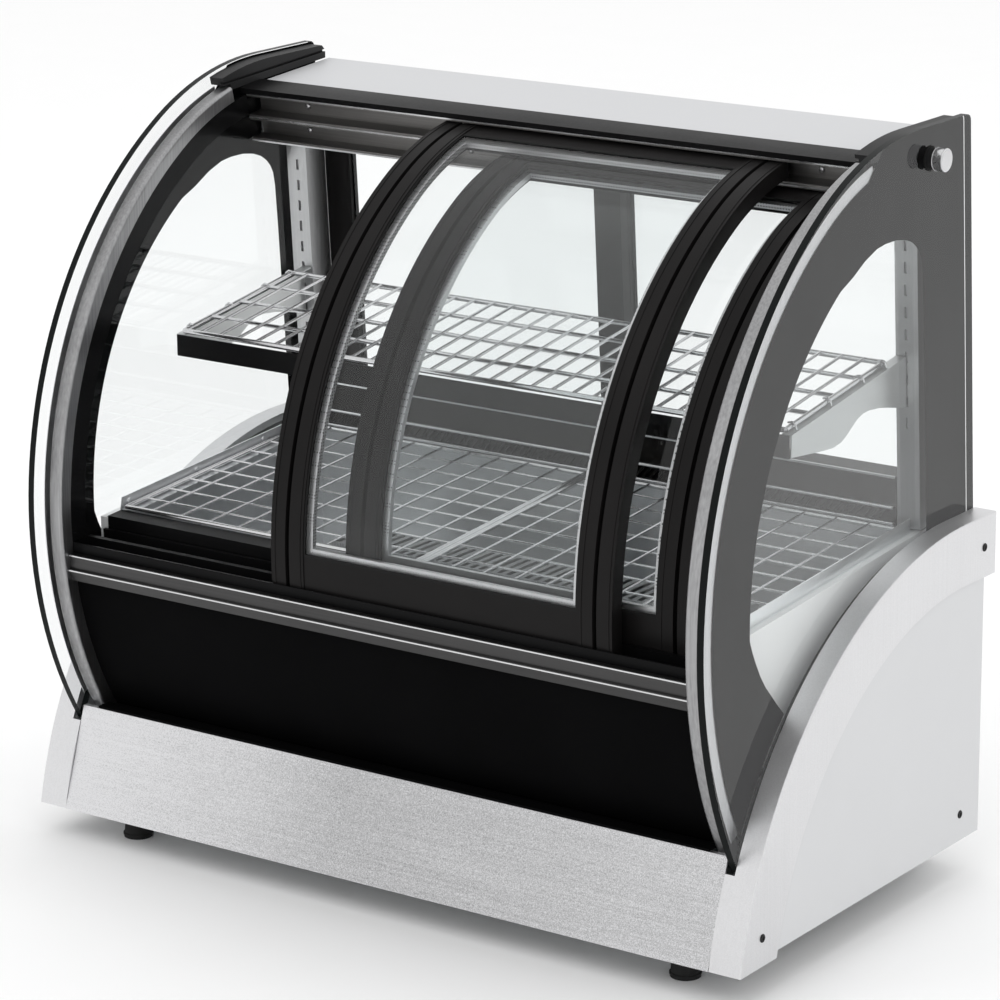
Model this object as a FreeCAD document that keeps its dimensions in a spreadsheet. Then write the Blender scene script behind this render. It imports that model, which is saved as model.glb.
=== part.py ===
import FreeCAD, Part
import math
import os
import Sketcher

# Curved countertop display case. X runs to the viewer's right, Y from the front to the rear, Z up.
# The origin is the middle of the footprint, on the surface that the feet stand on. Millimetres and degrees.

DRIVING_SIZES = {
    # side profile: the glass front is two tangent arcs, the base front is one arc
    "half_width": 457, "centre_y": 200.5, "glass_z": 371.5, "glass_radius": 468.5, "roof_radius": 342.3,
    "join_angle": 59.8, "arch_z": -53, "arch_radius": 448, "trim_width": 67, "trim_bottom": 35,
    "panel_bottom": 41.5, "base_rear": 248, "ear_rear": 268, "ear_bottom": 327, "sheet": 2,
    # side glass, bows and jambs, as offsets inward from the glass front edge
    "glass_half": 430.5, "glass_thick": 8, "glass_back_top": 240, "glass_back_low": 266, "glass_corner": 8,
    "bow_inner": 398, "bow_width": 15, "bow_front": 15, "bow_back": 32, "bow_top_angle": 76,
    "jamb_thick": 3.6, "jamb_front": 32.4, "jamb_back": 56, "track_back": 86.4, "inner_pane_half": 407, "inner_pane_thick": 5,
    # sliding front doors
    "door_width": 427, "door_thick": 18, "outer_lane": 36, "inner_lane": 63, "stile": 42, "finger_groove": 5,
    "door_low_angle": -4.7, "door_high_angle": 81.6, "low_rail_angle": 1, "high_rail_angle": 75.7,
    "sill_angle": -3.6, "head_angle": 80.1, "outer_door_x": 87, "inner_door_x": -49, "pane": 4, "spacer": 8,
    # deck and roof slope down to the front, and the rear frame leans forward
    "deck_front_z": 357.5, "deck_slope": 4, "lean": 3.5, "casing_half": 409, "casing_wall": 25,
    "casing_front": -175, "casing_floor": 212, "casing_rear": 262, "cavity_front": -150, "cavity_rear": 188,
    "roof_front_y": 117.9, "roof_front_z": 795.3, "roof_depth": 124.5,
    # rear frame, in the leaning plane's own axes
    "post_inner": 383, "post_width": 27, "post_front": -78, "post_back": -43, "rear_sill": 1,
    "rear_head": 392, "rear_door_width": 404, "rear_door_thick": 14, "rear_stile": 32,
    # wire goods
    "shelf_half": 390, "shelf_depth": 202, "shelf_front_y": -52, "shelf_front_z": 543, "shelf_slope": 8.5,
    "rack_width": 396, "rack_depth": 330, "frame_wire": 3, "cross_wire": 1.75, "mesh_wire": 1.4,
    # machine compartment
    "foot_x": 360, "foot_front_y": -187, "foot_rear_y": 205, "foot_radius": 16, "foot_height": 41.5,
    "fan_radius": 60, "fan_x": 150, "fan_y": 150, "fan_z": 125,
}

doc = FreeCAD.newDocument("display_case")
sheet = doc.addObject("Spreadsheet::Sheet", "Sizes")
for row, (alias, number) in enumerate(DRIVING_SIZES.items(), start=1):
    sheet.set(f"A{row}", alias)
    sheet.set(f"B{row}", str(number))
    sheet.setAlias(f"B{row}", alias)
doc.recompute()


class Size:
    """A number together with the sheet formula that gives it."""

    def __init__(self, number, formula):
        self.number = number
        self.formula = formula

    def combine(self, sign, other, number):
        return Size(number, f"({self.formula} {sign} {other.formula})")

    def __add__(self, other):
        other = sized(other)
        return self.combine("+", other, self.number + other.number)

    def __sub__(self, other):
        other = sized(other)
        return self.combine("-", other, self.number - other.number)

    def __mul__(self, other):
        other = sized(other)
        return self.combine("*", other, self.number * other.number)

    def __truediv__(self, other):
        other = sized(other)
        return self.combine("/", other, self.number / other.number)

    def __neg__(self):
        return sized(0) - self


def sized(value):
    """Any number as a Size."""
    if isinstance(value, Size):
        return value
    return Size(float(value), f"({float(value):.4f})")


def size(alias):
    """A driving dimension from the sheet."""
    return Size(float(sheet.get(alias)), f"Sizes.{alias}")


def cosine(angle):
    angle = sized(angle)
    return Size(math.cos(math.radians(angle.number)), f"cos({angle.formula})")


def sine(angle):
    angle = sized(angle)
    return Size(math.sin(math.radians(angle.number)), f"sin({angle.formula})")


def tangent(angle):
    return sine(angle) / cosine(angle)


def root(value):
    return Size(math.sqrt(value.number), f"sqrt({value.formula})")


def square(value):
    return value * value


# ---------------------------------------------------------------- the glass front curve and its offsets

GLASS_CENTRE = (size("centre_y"), size("glass_z"))
RADIUS_STEP = size("glass_radius") - size("roof_radius")
ROOF_CENTRE = (
    size("centre_y") - RADIUS_STEP * cosine(size("join_angle")),
    size("glass_z") + RADIUS_STEP * sine(size("join_angle")),
)
ARCH_CENTRE = (size("centre_y"), size("arch_z"))


def on_circle(centre, radius, angle):
    """The point on a circle at an angle above the direction that faces the front."""
    return centre[0] - radius * cosine(angle), centre[1] + radius * sine(angle)


def on_glass(offset, angle):
    """A point a given distance inside the glass front curve."""
    angle = sized(angle)
    if angle.number <= DRIVING_SIZES["join_angle"]:
        return on_circle(GLASS_CENTRE, size("glass_radius") - offset, angle)
    return on_circle(ROOF_CENTRE, size("roof_radius") - offset, angle)


def deck_z(y):
    """Height of the deck's ledge at a given depth."""
    return size("deck_front_z") + (sized(y) - size("casing_front")) * tangent(size("deck_slope"))


def arch_meets_glass(radius):
    """Where a circle about the arch's centre crosses the glass front edge, which has its centre straight above."""
    high = GLASS_CENTRE[1]
    low = ARCH_CENTRE[1]
    z = (square(radius) - square(size("glass_radius")) + square(high) - square(low)) / ((high - low) * 2)
    y = ARCH_CENTRE[0] - root(square(radius) - square(z - low))
    return y, z


# ---------------------------------------------------------------- outlines, sketches and features


class Outline:
    """A closed outline of straight lines and arcs, in a sketch's own two directions."""

    def __init__(self, start):
        self.points = [(sized(start[0]), sized(start[1]))]
        self.arcs = {}

    def line(self, point):
        self.points.append((sized(point[0]), sized(point[1])))
        return self

    def lines(self, *points):
        for point in points:
            self.line(point)
        return self

    def arc(self, point, centre, radius):
        self.arcs[len(self.points) - 1] = (centre, sized(radius))
        return self.line(point)


def polygon(*points):
    return Outline(points[0]).lines(*points[1:])


def rectangle(left, right, low, high):
    return polygon((left, low), (right, low), (right, high), (left, high))


def glass_arc(outline, offset, low, high):
    """Continues an outline along the offset glass curve between two angles, in either direction."""
    join = size("join_angle")
    low = sized(low)
    high = sized(high)
    rising = high.number > low.number
    first, last = (low, high) if rising else (high, low)
    lower_radius = size("glass_radius") - offset
    upper_radius = size("roof_radius") - offset
    if last.number <= join.number:
        return outline.arc(on_glass(offset, high), GLASS_CENTRE, lower_radius)
    if first.number > join.number:
        return outline.arc(on_glass(offset, high), ROOF_CENTRE, upper_radius)
    middle = on_glass(offset, join)
    if rising:
        outline.arc(middle, GLASS_CENTRE, lower_radius)
        return outline.arc(on_glass(offset, high), ROOF_CENTRE, upper_radius)
    outline.arc(middle, ROOF_CENTRE, upper_radius)
    return outline.arc(on_glass(offset, high), GLASS_CENTRE, lower_radius)


def band(outer, inner, low, high):
    """The strip between two offsets of the glass curve, from one angle to another."""
    outline = Outline(on_glass(outer, low))
    glass_arc(outline, outer, low, high)
    outline.line(on_glass(inner, high))
    return glass_arc(outline, inner, high, low)


def arch_band(outer_radius, inner_radius, low_z, high_z):
    """The strip between two circles about the arch's centre, between two heights on the front side."""

    def point(radius, z):
        rise = sized(z) - ARCH_CENTRE[1]
        return ARCH_CENTRE[0] - root(square(radius) - square(rise)), sized(z)

    outline = Outline(point(outer_radius, low_z))
    outline.arc(point(outer_radius, high_z), ARCH_CENTRE, outer_radius)
    outline.line(point(inner_radius, high_z))
    return outline.arc(point(inner_radius, low_z), ARCH_CENTRE, inner_radius)


def new_body(label):
    body = doc.addObject("PartDesign::Body", label)
    body.Label = label
    return body


def attach(sketch, body, plane, offset):
    origin_plane = next(item for item in body.Origin.OriginFeatures if item.Role == plane)
    sketch.AttachmentSupport = [(origin_plane, "")]
    sketch.MapMode = "FlatFace"
    sketch.setExpression("AttachmentOffset.Base.z", sized(offset).formula)


def arc_edge(start, end, centre):
    """An arc between two points about a centre, and whether it runs backwards along the outline."""
    middle = FreeCAD.Vector(centre[0].number, centre[1].number, 0)
    radius = (start - middle).Length
    first = math.atan2(start.y - middle.y, start.x - middle.x)
    last = math.atan2(end.y - middle.y, end.x - middle.x)
    backwards = (last - first) % (2 * math.pi) > math.pi
    circle = Part.Circle(middle, FreeCAD.Vector(0, 0, 1), radius)
    if backwards:
        return Part.ArcOfCircle(circle, last, first), True
    return Part.ArcOfCircle(circle, first, last), False


def draw(body, outline, plane="YZ_Plane", offset=0):
    """A fully constrained sketch of an outline, every point and radius bound to the sheet."""
    sketch = body.newObject("Sketcher::SketchObject", f"{body.Name}_outline")
    attach(sketch, body, plane, offset)
    vectors = [FreeCAD.Vector(y.number, z.number, 0) for y, z in outline.points]
    closed = (vectors[0] - vectors[-1]).Length < 1e-6
    count = len(vectors) - 1 if closed else len(vectors)
    edges = []
    ends = []
    for index in range(count):
        start = vectors[index]
        end = vectors[(index + 1) % count]
        if index in outline.arcs:
            edge, backwards = arc_edge(start, end, outline.arcs[index][0])
            ends.append((2, 1) if backwards else (1, 2))
        else:
            edge = Part.LineSegment(start, end)
            ends.append((1, 2))
        edges.append(edge)
    sketch.addGeometry(edges, False)
    constraints = []
    formulas = []
    for index in range(count):
        following = (index + 1) % count
        constraints.append(Sketcher.Constraint("Coincident", index, ends[index][1], following, ends[following][0]))
        formulas.append(None)
    for index in range(count):
        for kind, value in zip(("DistanceX", "DistanceY"), outline.points[index]):
            constraints.append(Sketcher.Constraint(kind, index, ends[index][0], value.number))
            formulas.append(value.formula)
    for index, (_, radius) in outline.arcs.items():
        constraints.append(Sketcher.Constraint("Radius", index, radius.number))
        formulas.append(radius.formula)
    sketch.addConstraint(constraints)
    for number, formula in enumerate(formulas):
        if formula:
            sketch.setExpression(f"Constraints[{number}]", formula)
    return sketch


def draw_circles(body, circles, plane, offset=0):
    """A sketch of circles, each (across, up, radius)."""
    sketch = body.newObject("Sketcher::SketchObject", f"{body.Name}_circles")
    attach(sketch, body, plane, offset)
    normal = FreeCAD.Vector(0, 0, 1)
    for index, circle in enumerate(circles):
        across, up, radius = (sized(value) for value in circle)
        centre = FreeCAD.Vector(across.number, up.number, 0)
        sketch.addGeometry(Part.Circle(centre, normal, radius.number), False)
        kinds = (("DistanceX", across, (index, 3)), ("DistanceY", up, (index, 3)), ("Radius", radius, (index,)))
        for kind, value, place in kinds:
            number = sketch.addConstraint(Sketcher.Constraint(kind, *place, value.number))
            sketch.setExpression(f"Constraints[{number}]", value.formula)
    return sketch


def pad(body, sketch, length, backwards=False):
    feature = body.newObject("PartDesign::Pad", f"{body.Name}_pad")
    feature.Profile = sketch
    feature.Reversed = backwards
    feature.setExpression("Length", sized(length).formula)
    sketch.Visibility = False
    return feature


def pocket(body, sketch, length, backwards=False):
    feature = body.newObject("PartDesign::Pocket", f"{body.Name}_pocket")
    feature.Profile = sketch
    feature.Reversed = backwards
    feature.setExpression("Length", sized(length).formula)
    return feature


def repeat(body, feature, plane_axis, length, count):
    """A linear pattern of a feature along one of the body's own axes."""
    pattern = body.newObject("PartDesign::LinearPattern", f"{body.Name}_pattern")
    pattern.Originals = [feature]
    axis = next(item for item in body.Origin.OriginFeatures if item.Role == plane_axis)
    pattern.Direction = (axis, [""])
    pattern.setExpression("Length", sized(length).formula)
    pattern.Occurrences = count
    body.Tip = pattern
    return pattern


def round_edges(body, names, radius):
    """Rounds named edges of the body's last feature."""
    last = body.Tip
    fillet = body.newObject("PartDesign::Fillet", f"{body.Name}_fillet")
    fillet.Base = (last, names)
    fillet.Radius = radius
    return fillet


def slab(body, outline, low_x, high_x):
    """Adds an outline in the YZ plane, drawn out between two X positions."""
    low_x = sized(low_x)
    return pad(body, draw(body, outline, "YZ_Plane", low_x), sized(high_x) - low_x)


def cut_slab(body, outline, low_x, high_x):
    """Cuts an outline in the YZ plane out of a body between two X positions."""
    high_x = sized(high_x)
    return pocket(body, draw(body, outline, "YZ_Plane", high_x), high_x - low_x)


def side_range(side, inner, outer):
    """Low and high X of a piece that lies between two distances from the middle, on side -1 or +1."""
    inner = sized(inner)
    outer = sized(outer)
    if side > 0:
        return inner, outer
    return -outer, -inner


NODES = []


def keep(item):
    """Marks an object as a finished sub-part."""
    NODES.append(item)
    return item


def simple_slab(label, outline, low_x, high_x):
    body = new_body(label)
    slab(body, outline, low_x, high_x)
    return keep(body)


SIDES = (("left", -1), ("right", 1))

# ---------------------------------------------------------------- base


def make_base_pan():
    """Folded tray that carries the machinery, open at the top."""
    half = 415
    front = -205
    rear = size("base_rear") - 4
    floor = size("foot_height")
    rim = floor + 22
    body = new_body("base_pan")
    slab(body, rectangle(front, rear, floor, rim), -half, half)
    inner = rectangle(sized(front) + 2, rear - 2, floor + 2, rim + 1)
    cut_slab(body, inner, -half + 2, half - 2)
    keep(body)


def make_feet():
    """Four turned rubber feet, each wider at the bottom."""
    cones = []
    for index, (x_sign, y_alias) in enumerate(((-1, "foot_front_y"), (1, "foot_front_y"),
                                               (-1, "foot_rear_y"), (1, "foot_rear_y"))):
        cone = doc.addObject("Part::Cone", f"foot_{index + 1}")
        cone.setExpression("Radius1", "Sizes.foot_radius")
        cone.setExpression("Radius2", "Sizes.foot_radius * 0.75")
        cone.setExpression("Height", "Sizes.foot_height")
        cone.setExpression("Placement.Base.x", f"Sizes.foot_x * {x_sign}")
        cone.setExpression("Placement.Base.y", f"Sizes.{y_alias}")
        cones.append(cone)
    group = doc.addObject("Part::Compound", "rubber_feet")
    group.Label = "rubber_feet"
    group.Links = cones
    keep(group)


def make_kick_panel():
    """Sloping front sheet with a hem at its top and bottom."""
    half = size("half_width") - 37.6
    low = (-239.5, size("trim_bottom"))
    high = (-203.0, 145.5)
    outline = polygon(low, high, (-197.0, 145.5), (-197.0, 143.7), (-201.6, 143.7), (-237.4, 36.8 + 0.6),
                      (-222.0, 36.8 + 0.6), (-222.0, size("trim_bottom")))
    simple_slab("kick_panel", outline, -half, half)


def arch_top_outline(radius, depth_line, bottom):
    """The arch from its foot to the top of its curve, then level to a rear line and down it."""
    start = arch_band(radius, radius - 1, bottom, sized(bottom) + 1).points[0]
    top = (ARCH_CENTRE[0], ARCH_CENTRE[1] + radius)
    outline = Outline(start)
    outline.arc(top, ARCH_CENTRE, radius)
    return outline.line((depth_line, top[1]))


def make_arch_trims():
    """Silver band over each side panel, with a flange that closes inward onto the glass."""
    radius = size("arch_radius")
    inner = radius - size("trim_width")
    thick = size("sheet")
    bottom = size("trim_bottom")
    tip_z = arch_meets_glass(radius)[1]
    for name, side in SIDES:
        body = new_body(f"arch_trim_{name}")
        outline = arch_top_outline(radius, size("ear_rear"), bottom)
        outline.line((size("ear_rear"), size("ear_bottom")))
        outline.line((size("base_rear") + 2, size("ear_bottom")))
        outline.line((ARCH_CENTRE[0], ARCH_CENTRE[1] + inner))
        low_inner = arch_band(inner, inner - 1, bottom, bottom + 1).points[0]
        outline.arc(low_inner, ARCH_CENTRE, inner)
        slab(body, outline, *side_range(side, size("half_width") - thick, size("half_width")))
        flange = arch_top_outline(radius, size("ear_rear"), bottom)
        flange.line((size("ear_rear"), size("ear_bottom")))
        flange.line((size("ear_rear") - thick, size("ear_bottom")))
        flange.line((size("ear_rear") - thick, ARCH_CENTRE[1] + radius - thick))
        flange.line((ARCH_CENTRE[0], ARCH_CENTRE[1] + radius - thick))
        low_flange = arch_band(radius - thick, inner, bottom, bottom + 1).points[0]
        flange.arc(low_flange, ARCH_CENTRE, radius - thick)
        slab(body, flange, *side_range(side, size("glass_half") + 0.3, size("half_width") - thick / 2))
        foot = arch_band(radius, radius - thick, bottom, tip_z - 8)
        slab(body, foot, *side_range(side, size("half_width") - 37.2, size("glass_half") + 1))
        doc.recompute()
        names = []
        half = DRIVING_SIZES["half_width"]
        for index, edge in enumerate(body.Tip.Shape.Edges, start=1):
            middle = edge.valueAt((edge.FirstParameter + edge.LastParameter) / 2)
            reach = math.hypot(middle.y - DRIVING_SIZES["centre_y"], middle.z - DRIVING_SIZES["arch_z"])
            on_rim = abs(reach - DRIVING_SIZES["arch_radius"]) < 0.01 or abs(middle.z - 395) < 0.01
            if abs(abs(middle.x) - half) < 0.01 and on_rim and edge.Length > 20:
                names.append(f"Edge{index}")
        round_edges(body, names, 1.6)
        keep(body)


def make_side_panels():
    """Flat sheet behind each arch trim, one on each side."""
    body = new_body("side_panels")
    thick = size("sheet")
    radius = size("arch_radius") - thick - 0.4
    bottom = size("panel_bottom")
    for _, side in SIDES:
        outline = arch_top_outline(radius, size("base_rear"), bottom)
        outline.line((size("base_rear"), bottom))
        outer = size("half_width") - thick
        slab(body, outline, *side_range(side, outer - 1.5, outer))
    keep(body)


def make_side_screws():
    """Three black button-head screws on each side."""
    body = new_body("side_screws")
    outer = size("half_width") + 1.2
    on_trim = ((244, 360.5, 4.5), (-198, 65.5, 4.5))
    on_panel = ((207, 71.5, 4.5),)
    for side in (-1, 1):
        for circles, depth in ((on_trim, 1.2), (on_panel, 1.2 + DRIVING_SIZES["sheet"])):
            start = outer - depth if side > 0 else -outer
            pad(body, draw_circles(body, circles, "YZ_Plane", start), depth)
    keep(body)


# ---------------------------------------------------------------- front


def make_front_lower_panel():
    """Curved black panel between the sill and the kick panel, with a ledge that runs forward at its foot."""
    low = -32.3
    front = size("bow_back") + 0.4
    body = new_body("front_lower_panel")
    slab(body, band(front, front + 3, low, -9.2), -413, 413)
    foot = on_glass(front, low)
    ledge = polygon((foot[0] + 1.5, foot[1] - 0.4), (foot[0] + 1.5, foot[1] + 2.6), (-186, 148.6), (-203.5, 148.6),
                    (-203.5, 146), (-186, 146))
    slab(body, ledge, -397.5, 397.5)
    keep(body)


def make_sill_rail():
    """Brushed rail in two steps, each with a bright lip along its top."""
    upper = on_glass(25.3, -5.1)
    upper_foot = on_glass(24.6, -7.0)
    lower = on_glass(21.7, -7.15)
    lower_foot = on_glass(24.2, -8.95)
    outline = Outline(upper)
    outline.lines((upper[0] - 1.4, upper[1] - 1.2), (upper[0] - 1.2, upper[1] - 3.0), (upper[0] + 0.2, upper[1] - 3.4))
    outline.lines(upper_foot, lower, (lower[0] - 1.4, lower[1] - 1.2), (lower[0] - 1.2, lower[1] - 3.0))
    outline.lines((lower[0] + 0.4, lower[1] - 3.4), lower_foot)
    outline.lines(on_glass(31.8, -8.95), on_glass(31.8, -5.1))
    simple_slab("sill_rail", outline, -size("bow_inner") + 0.2, size("bow_inner") - 0.2)


def lane_channels(low, high):
    """The two lanes of a door track, one for each door, with room on both sides of the door."""
    gap = 1.5
    lanes = []
    for alias in ("outer_lane", "inner_lane"):
        front = size(alias) - gap
        lanes.append(band(front, front + size("door_thick") + gap * 2, low, high))
    return lanes


def make_door_tracks():
    """Lower and upper tracks: one extrusion each, with two open lanes."""
    half = size("bow_inner") - 0.2
    lower = new_body("lower_door_track")
    slab(lower, band(size("jamb_front"), size("track_back"), -8.2, size("sill_angle")), -half, half)
    for lane in lane_channels(-5.4, -2.5):
        cut_slab(lower, lane, -half, half)
    keep(lower)
    upper = new_body("upper_door_track")
    slab(upper, band(30.2, size("track_back"), size("head_angle") + 0.05, 86.2), -half, half)
    for lane in lane_channels(79, 84.4):
        cut_slab(upper, lane, -half, half)
    keep(upper)


def make_roof():
    """Black front trim, light roof sheet with folded edges, and the lining with its lamp housing under it."""
    simple_slab("top_front_trim", band(24, 30, size("head_angle") - 0.6, 86.4), -403.6, 403.6)
    slope = size("deck_slope")
    front = (size("roof_front_y"), size("roof_front_z"))
    rear = (front[0] + size("roof_depth"), front[1] + size("roof_depth") * tangent(slope))
    roof = new_body("top_panel")
    outline = polygon(front, rear, (rear[0] - 2, rear[1] - 30), (rear[0] - 3.5, rear[1] - 30),
                      (rear[0] - 1.8, rear[1] - 1.7), (front[0] + 1.7, front[1] - 1.5), (front[0] + 1.7, front[1] - 8),
                      (front[0], front[1] - 8))
    slab(roof, outline, -403.6, 403.6)
    keep(roof)
    liner = new_body("ceiling_liner")
    slab(liner, polygon((120, 762), (196, 767.5), (196, 769.5), (120, 764)), -400, 400)
    housing = polygon((121.5, 742), (126, 738), (146, 738), (150, 742), (150, 764.4), (121.5, 762.5))
    slab(liner, housing, -340, 340)
    keep(liner)


def make_lamp():
    """Clear lens under the lamp housing, over the goods."""
    lens = polygon((127, 737.8), (145, 737.8), (142, 733.5), (130, 733.5))
    simple_slab("lamp_lens", lens, -336, 336)


def make_bows_and_jambs():
    """Bright bow inside each side glass, and the black jamb that a closed door meets."""
    for name, side in SIDES:
        bow = new_body(f"side_bow_{name}")
        outline = band(size("bow_front"), size("bow_back"), -31.6, size("bow_top_angle"))
        inner = size("bow_inner")
        slab(bow, outline, *side_range(side, inner, inner + size("bow_width")))
        doc.recompute()
        names = []
        for index, edge in enumerate(bow.Tip.Shape.Edges, start=1):
            middle = edge.valueAt((edge.FirstParameter + edge.LastParameter) / 2)
            front_edge = glass_offset(middle.y, middle.z) < DRIVING_SIZES["bow_front"] + 1
            if abs(abs(middle.x) - DRIVING_SIZES["bow_inner"]) < 0.01 and front_edge and edge.Length > 50:
                names.append(f"Edge{index}")
        round_edges(bow, names, 4)
        keep(bow)
        jamb = band(size("jamb_front"), size("jamb_back"), size("sill_angle") + 0.05, size("head_angle") - 0.05)
        start = inner + 0.2
        simple_slab(f"door_jamb_{name}", jamb, *side_range(side, start, start + size("jamb_thick")))


def glass_offset(y, z):
    """How far inside the glass front edge a point lies."""
    across = DRIVING_SIZES["centre_y"] - y
    up = z - DRIVING_SIZES["glass_z"]
    if math.degrees(math.atan2(up, across)) <= DRIVING_SIZES["join_angle"]:
        return DRIVING_SIZES["glass_radius"] - math.hypot(across, up)
    return DRIVING_SIZES["roof_radius"] - math.hypot(ROOF_CENTRE[0].number - y, ROOF_CENTRE[1].number - z)


def make_side_glass():
    """Outer pane with a curved front edge on each side, and the smaller inner pane of the double glazing."""
    seat = size("arch_radius") - 8
    tip = arch_meets_glass(seat)
    top = (ROOF_CENTRE[0], ROOF_CENTRE[1] + size("roof_radius"))
    corner = size("glass_corner")
    back_top = size("glass_back_top")
    low_rise = root(square(seat) - square(size("glass_back_low") - ARCH_CENTRE[0]))
    back_low = (size("glass_back_low"), ARCH_CENTRE[1] + low_rise)
    panes = new_body("inner_panes")
    for name, side in SIDES:
        outline = Outline(tip)
        outline.arc(on_glass(0, size("join_angle")), GLASS_CENTRE, size("glass_radius"))
        outline.arc(top, ROOF_CENTRE, size("roof_radius"))
        outline.line((back_top - corner, top[1]))
        outline.arc((back_top, top[1] - corner), (back_top - corner, top[1] - corner), corner)
        outline.line(back_low)
        outline.arc(tip, ARCH_CENTRE, seat)
        outer = size("glass_half")
        simple_slab(f"side_glass_{name}", outline, *side_range(side, outer - size("glass_thick"), outer))
        front = 40
        inner = Outline(on_glass(front, -1.2))
        glass_arc(inner, front, -1.2, 84)
        inner.lines((162.5, 759), (184, deck_z(184) + 3), (-155, deck_z(-155) + 3))
        outer_inner = size("inner_pane_half")
        slab(panes, inner, *side_range(side, outer_inner - size("inner_pane_thick"), outer_inner))
    keep(panes)


def make_glass_fixings():
    """Black cap strip along the top of each side glass, and a chrome stud on a black collar."""
    roof_slope = tangent(size("deck_slope"))
    cap = new_body("glass_caps")
    for _, side in SIDES:
        low_front = (63.4, size("roof_front_z") - (size("roof_front_y") - 90) * roof_slope)
        low_rear = (236.0, size("roof_front_z") + (sized(236) - size("roof_front_y")) * roof_slope)
        outline = Outline((63.4, low_front[1]))
        outline.lines((63.4, 800.6), on_glass(12, 75), on_glass(3, 75))
        glass_arc(outline, 3, 75, 89.9)
        outline.lines((230, 820), (236, 814), (236, low_rear[1] + 1.5))
        inner = 404
        outer = size("glass_half") - size("glass_thick") - 0.4
        slab(cap, outline, *side_range(side, inner, outer))
        groove = polygon((40, 800.5), (240, 812.5), (240, 815.5), (40, 803.5))
        cut_slab(cap, groove, *side_range(side, inner - 1, inner + 4))
    keep(cap)
    axis = (155, 789.8)
    collar = new_body("stud_collars")
    cap = new_body("stud_caps")
    glass = size("glass_half")
    for side in (-1, 1):
        low, high = side_range(side, glass + 0.1, glass + 8)
        pad(collar, draw_circles(collar, [(*axis, 11)], "YZ_Plane", low), high - low)
        low, high = side_range(side, glass + 8, glass + 19.5)
        pad(cap, draw_circles(cap, [(*axis, 12)], "YZ_Plane", low), high - low)
    keep(collar)
    keep(cap)


# ---------------------------------------------------------------- sliding front doors


def make_front_door(name, lane, left_x):
    """Curved sliding door: two grooved stiles, two rails, two panes and the spacer between them."""
    front = size(lane)
    back = front + size("door_thick")
    low = size("door_low_angle")
    high = size("door_high_angle")
    glass_low = size("low_rail_angle")
    glass_high = size("high_rail_angle")
    left = size(left_x) if left_x == "inner_door_x" else size("outer_door_x") - size("door_width") / 2
    right = left + size("door_width")
    stile = size("stile")
    stiles = new_body(f"{name}_door_stiles")
    for start in (left, right - stile):
        slab(stiles, band(front, back, low, high), start, start + stile)
    groove = size("finger_groove")
    for start in (left, right - stile):
        middle = start + stile / 2
        cut_slab(stiles, band(front - 1, front + 7, low - 1, high + 1), middle - groove / 2, middle + groove / 2)
    keep(stiles)
    rails = new_body(f"{name}_door_rails")
    for first, last in ((low, glass_low), (glass_high, high)):
        slab(rails, band(front + 1, back, first, last), left + stile, right - stile)
    keep(rails)
    pane_left = left + stile + 0.2
    pane_right = right - stile - 0.2
    edge = sized(0.04)
    panes = new_body(f"{name}_door_glass")
    for depth in (front + 2, back - 6):
        slab(panes, band(depth, depth + size("pane"), glass_low + edge, glass_high - edge), pane_left, pane_right)
    keep(panes)
    bars = new_body(f"{name}_door_spacer")
    spacer_front = front + 2.1 + size("pane")
    spacer_back = back - 6.1
    slab(bars, band(spacer_front, spacer_back, glass_low + edge, glass_high - edge), pane_left, pane_right)
    width = size("spacer")
    hole = band(spacer_front - 1, spacer_back + 1, glass_low + 1.1, glass_high - 1.5)
    cut_slab(bars, hole, pane_left + width, pane_right - width)
    keep(bars)


# ---------------------------------------------------------------- casing, liner and rear


def make_casing():
    """Foam-filled casing: floor, four walls and a higher rear wall."""
    half = size("casing_half")
    front = size("casing_front")
    rear = size("casing_rear")
    floor = size("casing_floor")
    body = new_body("insulated_casing")
    shoulder = on_glass(38, -9.3)
    foot = on_glass(38, -21.6)
    outline = Outline(foot)
    outline.arc(shoulder, GLASS_CENTRE, size("glass_radius") - 38)
    outline.lines((front, shoulder[1]), (front, deck_z(front)), (cavity_wall(), deck_z(cavity_wall())),
                  (cavity_wall() + 0.5, 387.3), (rear - 2.5, 389.4), (rear, 380), (rear, floor), (foot[0], floor))
    slab(body, outline, -half, half)
    wall = size("casing_wall")
    cavity = rectangle(size("cavity_front"), size("cavity_rear"), floor + wall, 520)
    cut_slab(body, cavity, -half + wall, half - wall)
    keep(body)


def cavity_wall():
    """Front face of the rear wall."""
    return size("cavity_rear") + 37


def make_liner():
    """Thin tray inside the casing, with a ledge on top of each wall."""
    half = size("casing_half") - size("casing_wall") - 0.3
    front = size("cavity_front") + 0.3
    rear = size("cavity_rear") - 0.3
    floor = size("casing_floor") + size("casing_wall") + 0.3
    body = new_body("tub_liner")
    top_front = deck_z(front) + 1.4
    top_rear = deck_z(rear) + 1.4
    slab(body, polygon((front, floor), (rear, floor), (rear, top_rear), (front, top_front)), -half, half)
    inner = polygon((front + 1.2, floor + 1.2), (rear - 1.2, floor + 1.2), (rear - 1.2, 420), (front + 1.2, 420))
    cut_slab(body, inner, -half + 1.2, half - 1.2)
    ledge_front = size("casing_front") + 1
    ledge = polygon((ledge_front, deck_z(ledge_front) + 0.2), (rear, deck_z(rear) + 0.2),
                    (rear, deck_z(rear) + 1.4), (ledge_front, deck_z(ledge_front) + 1.4))
    for side in (-1, 1):
        slab(body, ledge, *side_range(side, half - 1.2, 401))
    front_ledge = polygon((ledge_front, deck_z(ledge_front) + 0.2), (front + 1.2, deck_z(front + 1.2) + 0.2),
                          (front + 1.2, deck_z(front + 1.2) + 1.4), (ledge_front, deck_z(ledge_front) + 1.4))
    slab(body, front_ledge, -half, half)
    keep(body)


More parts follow.
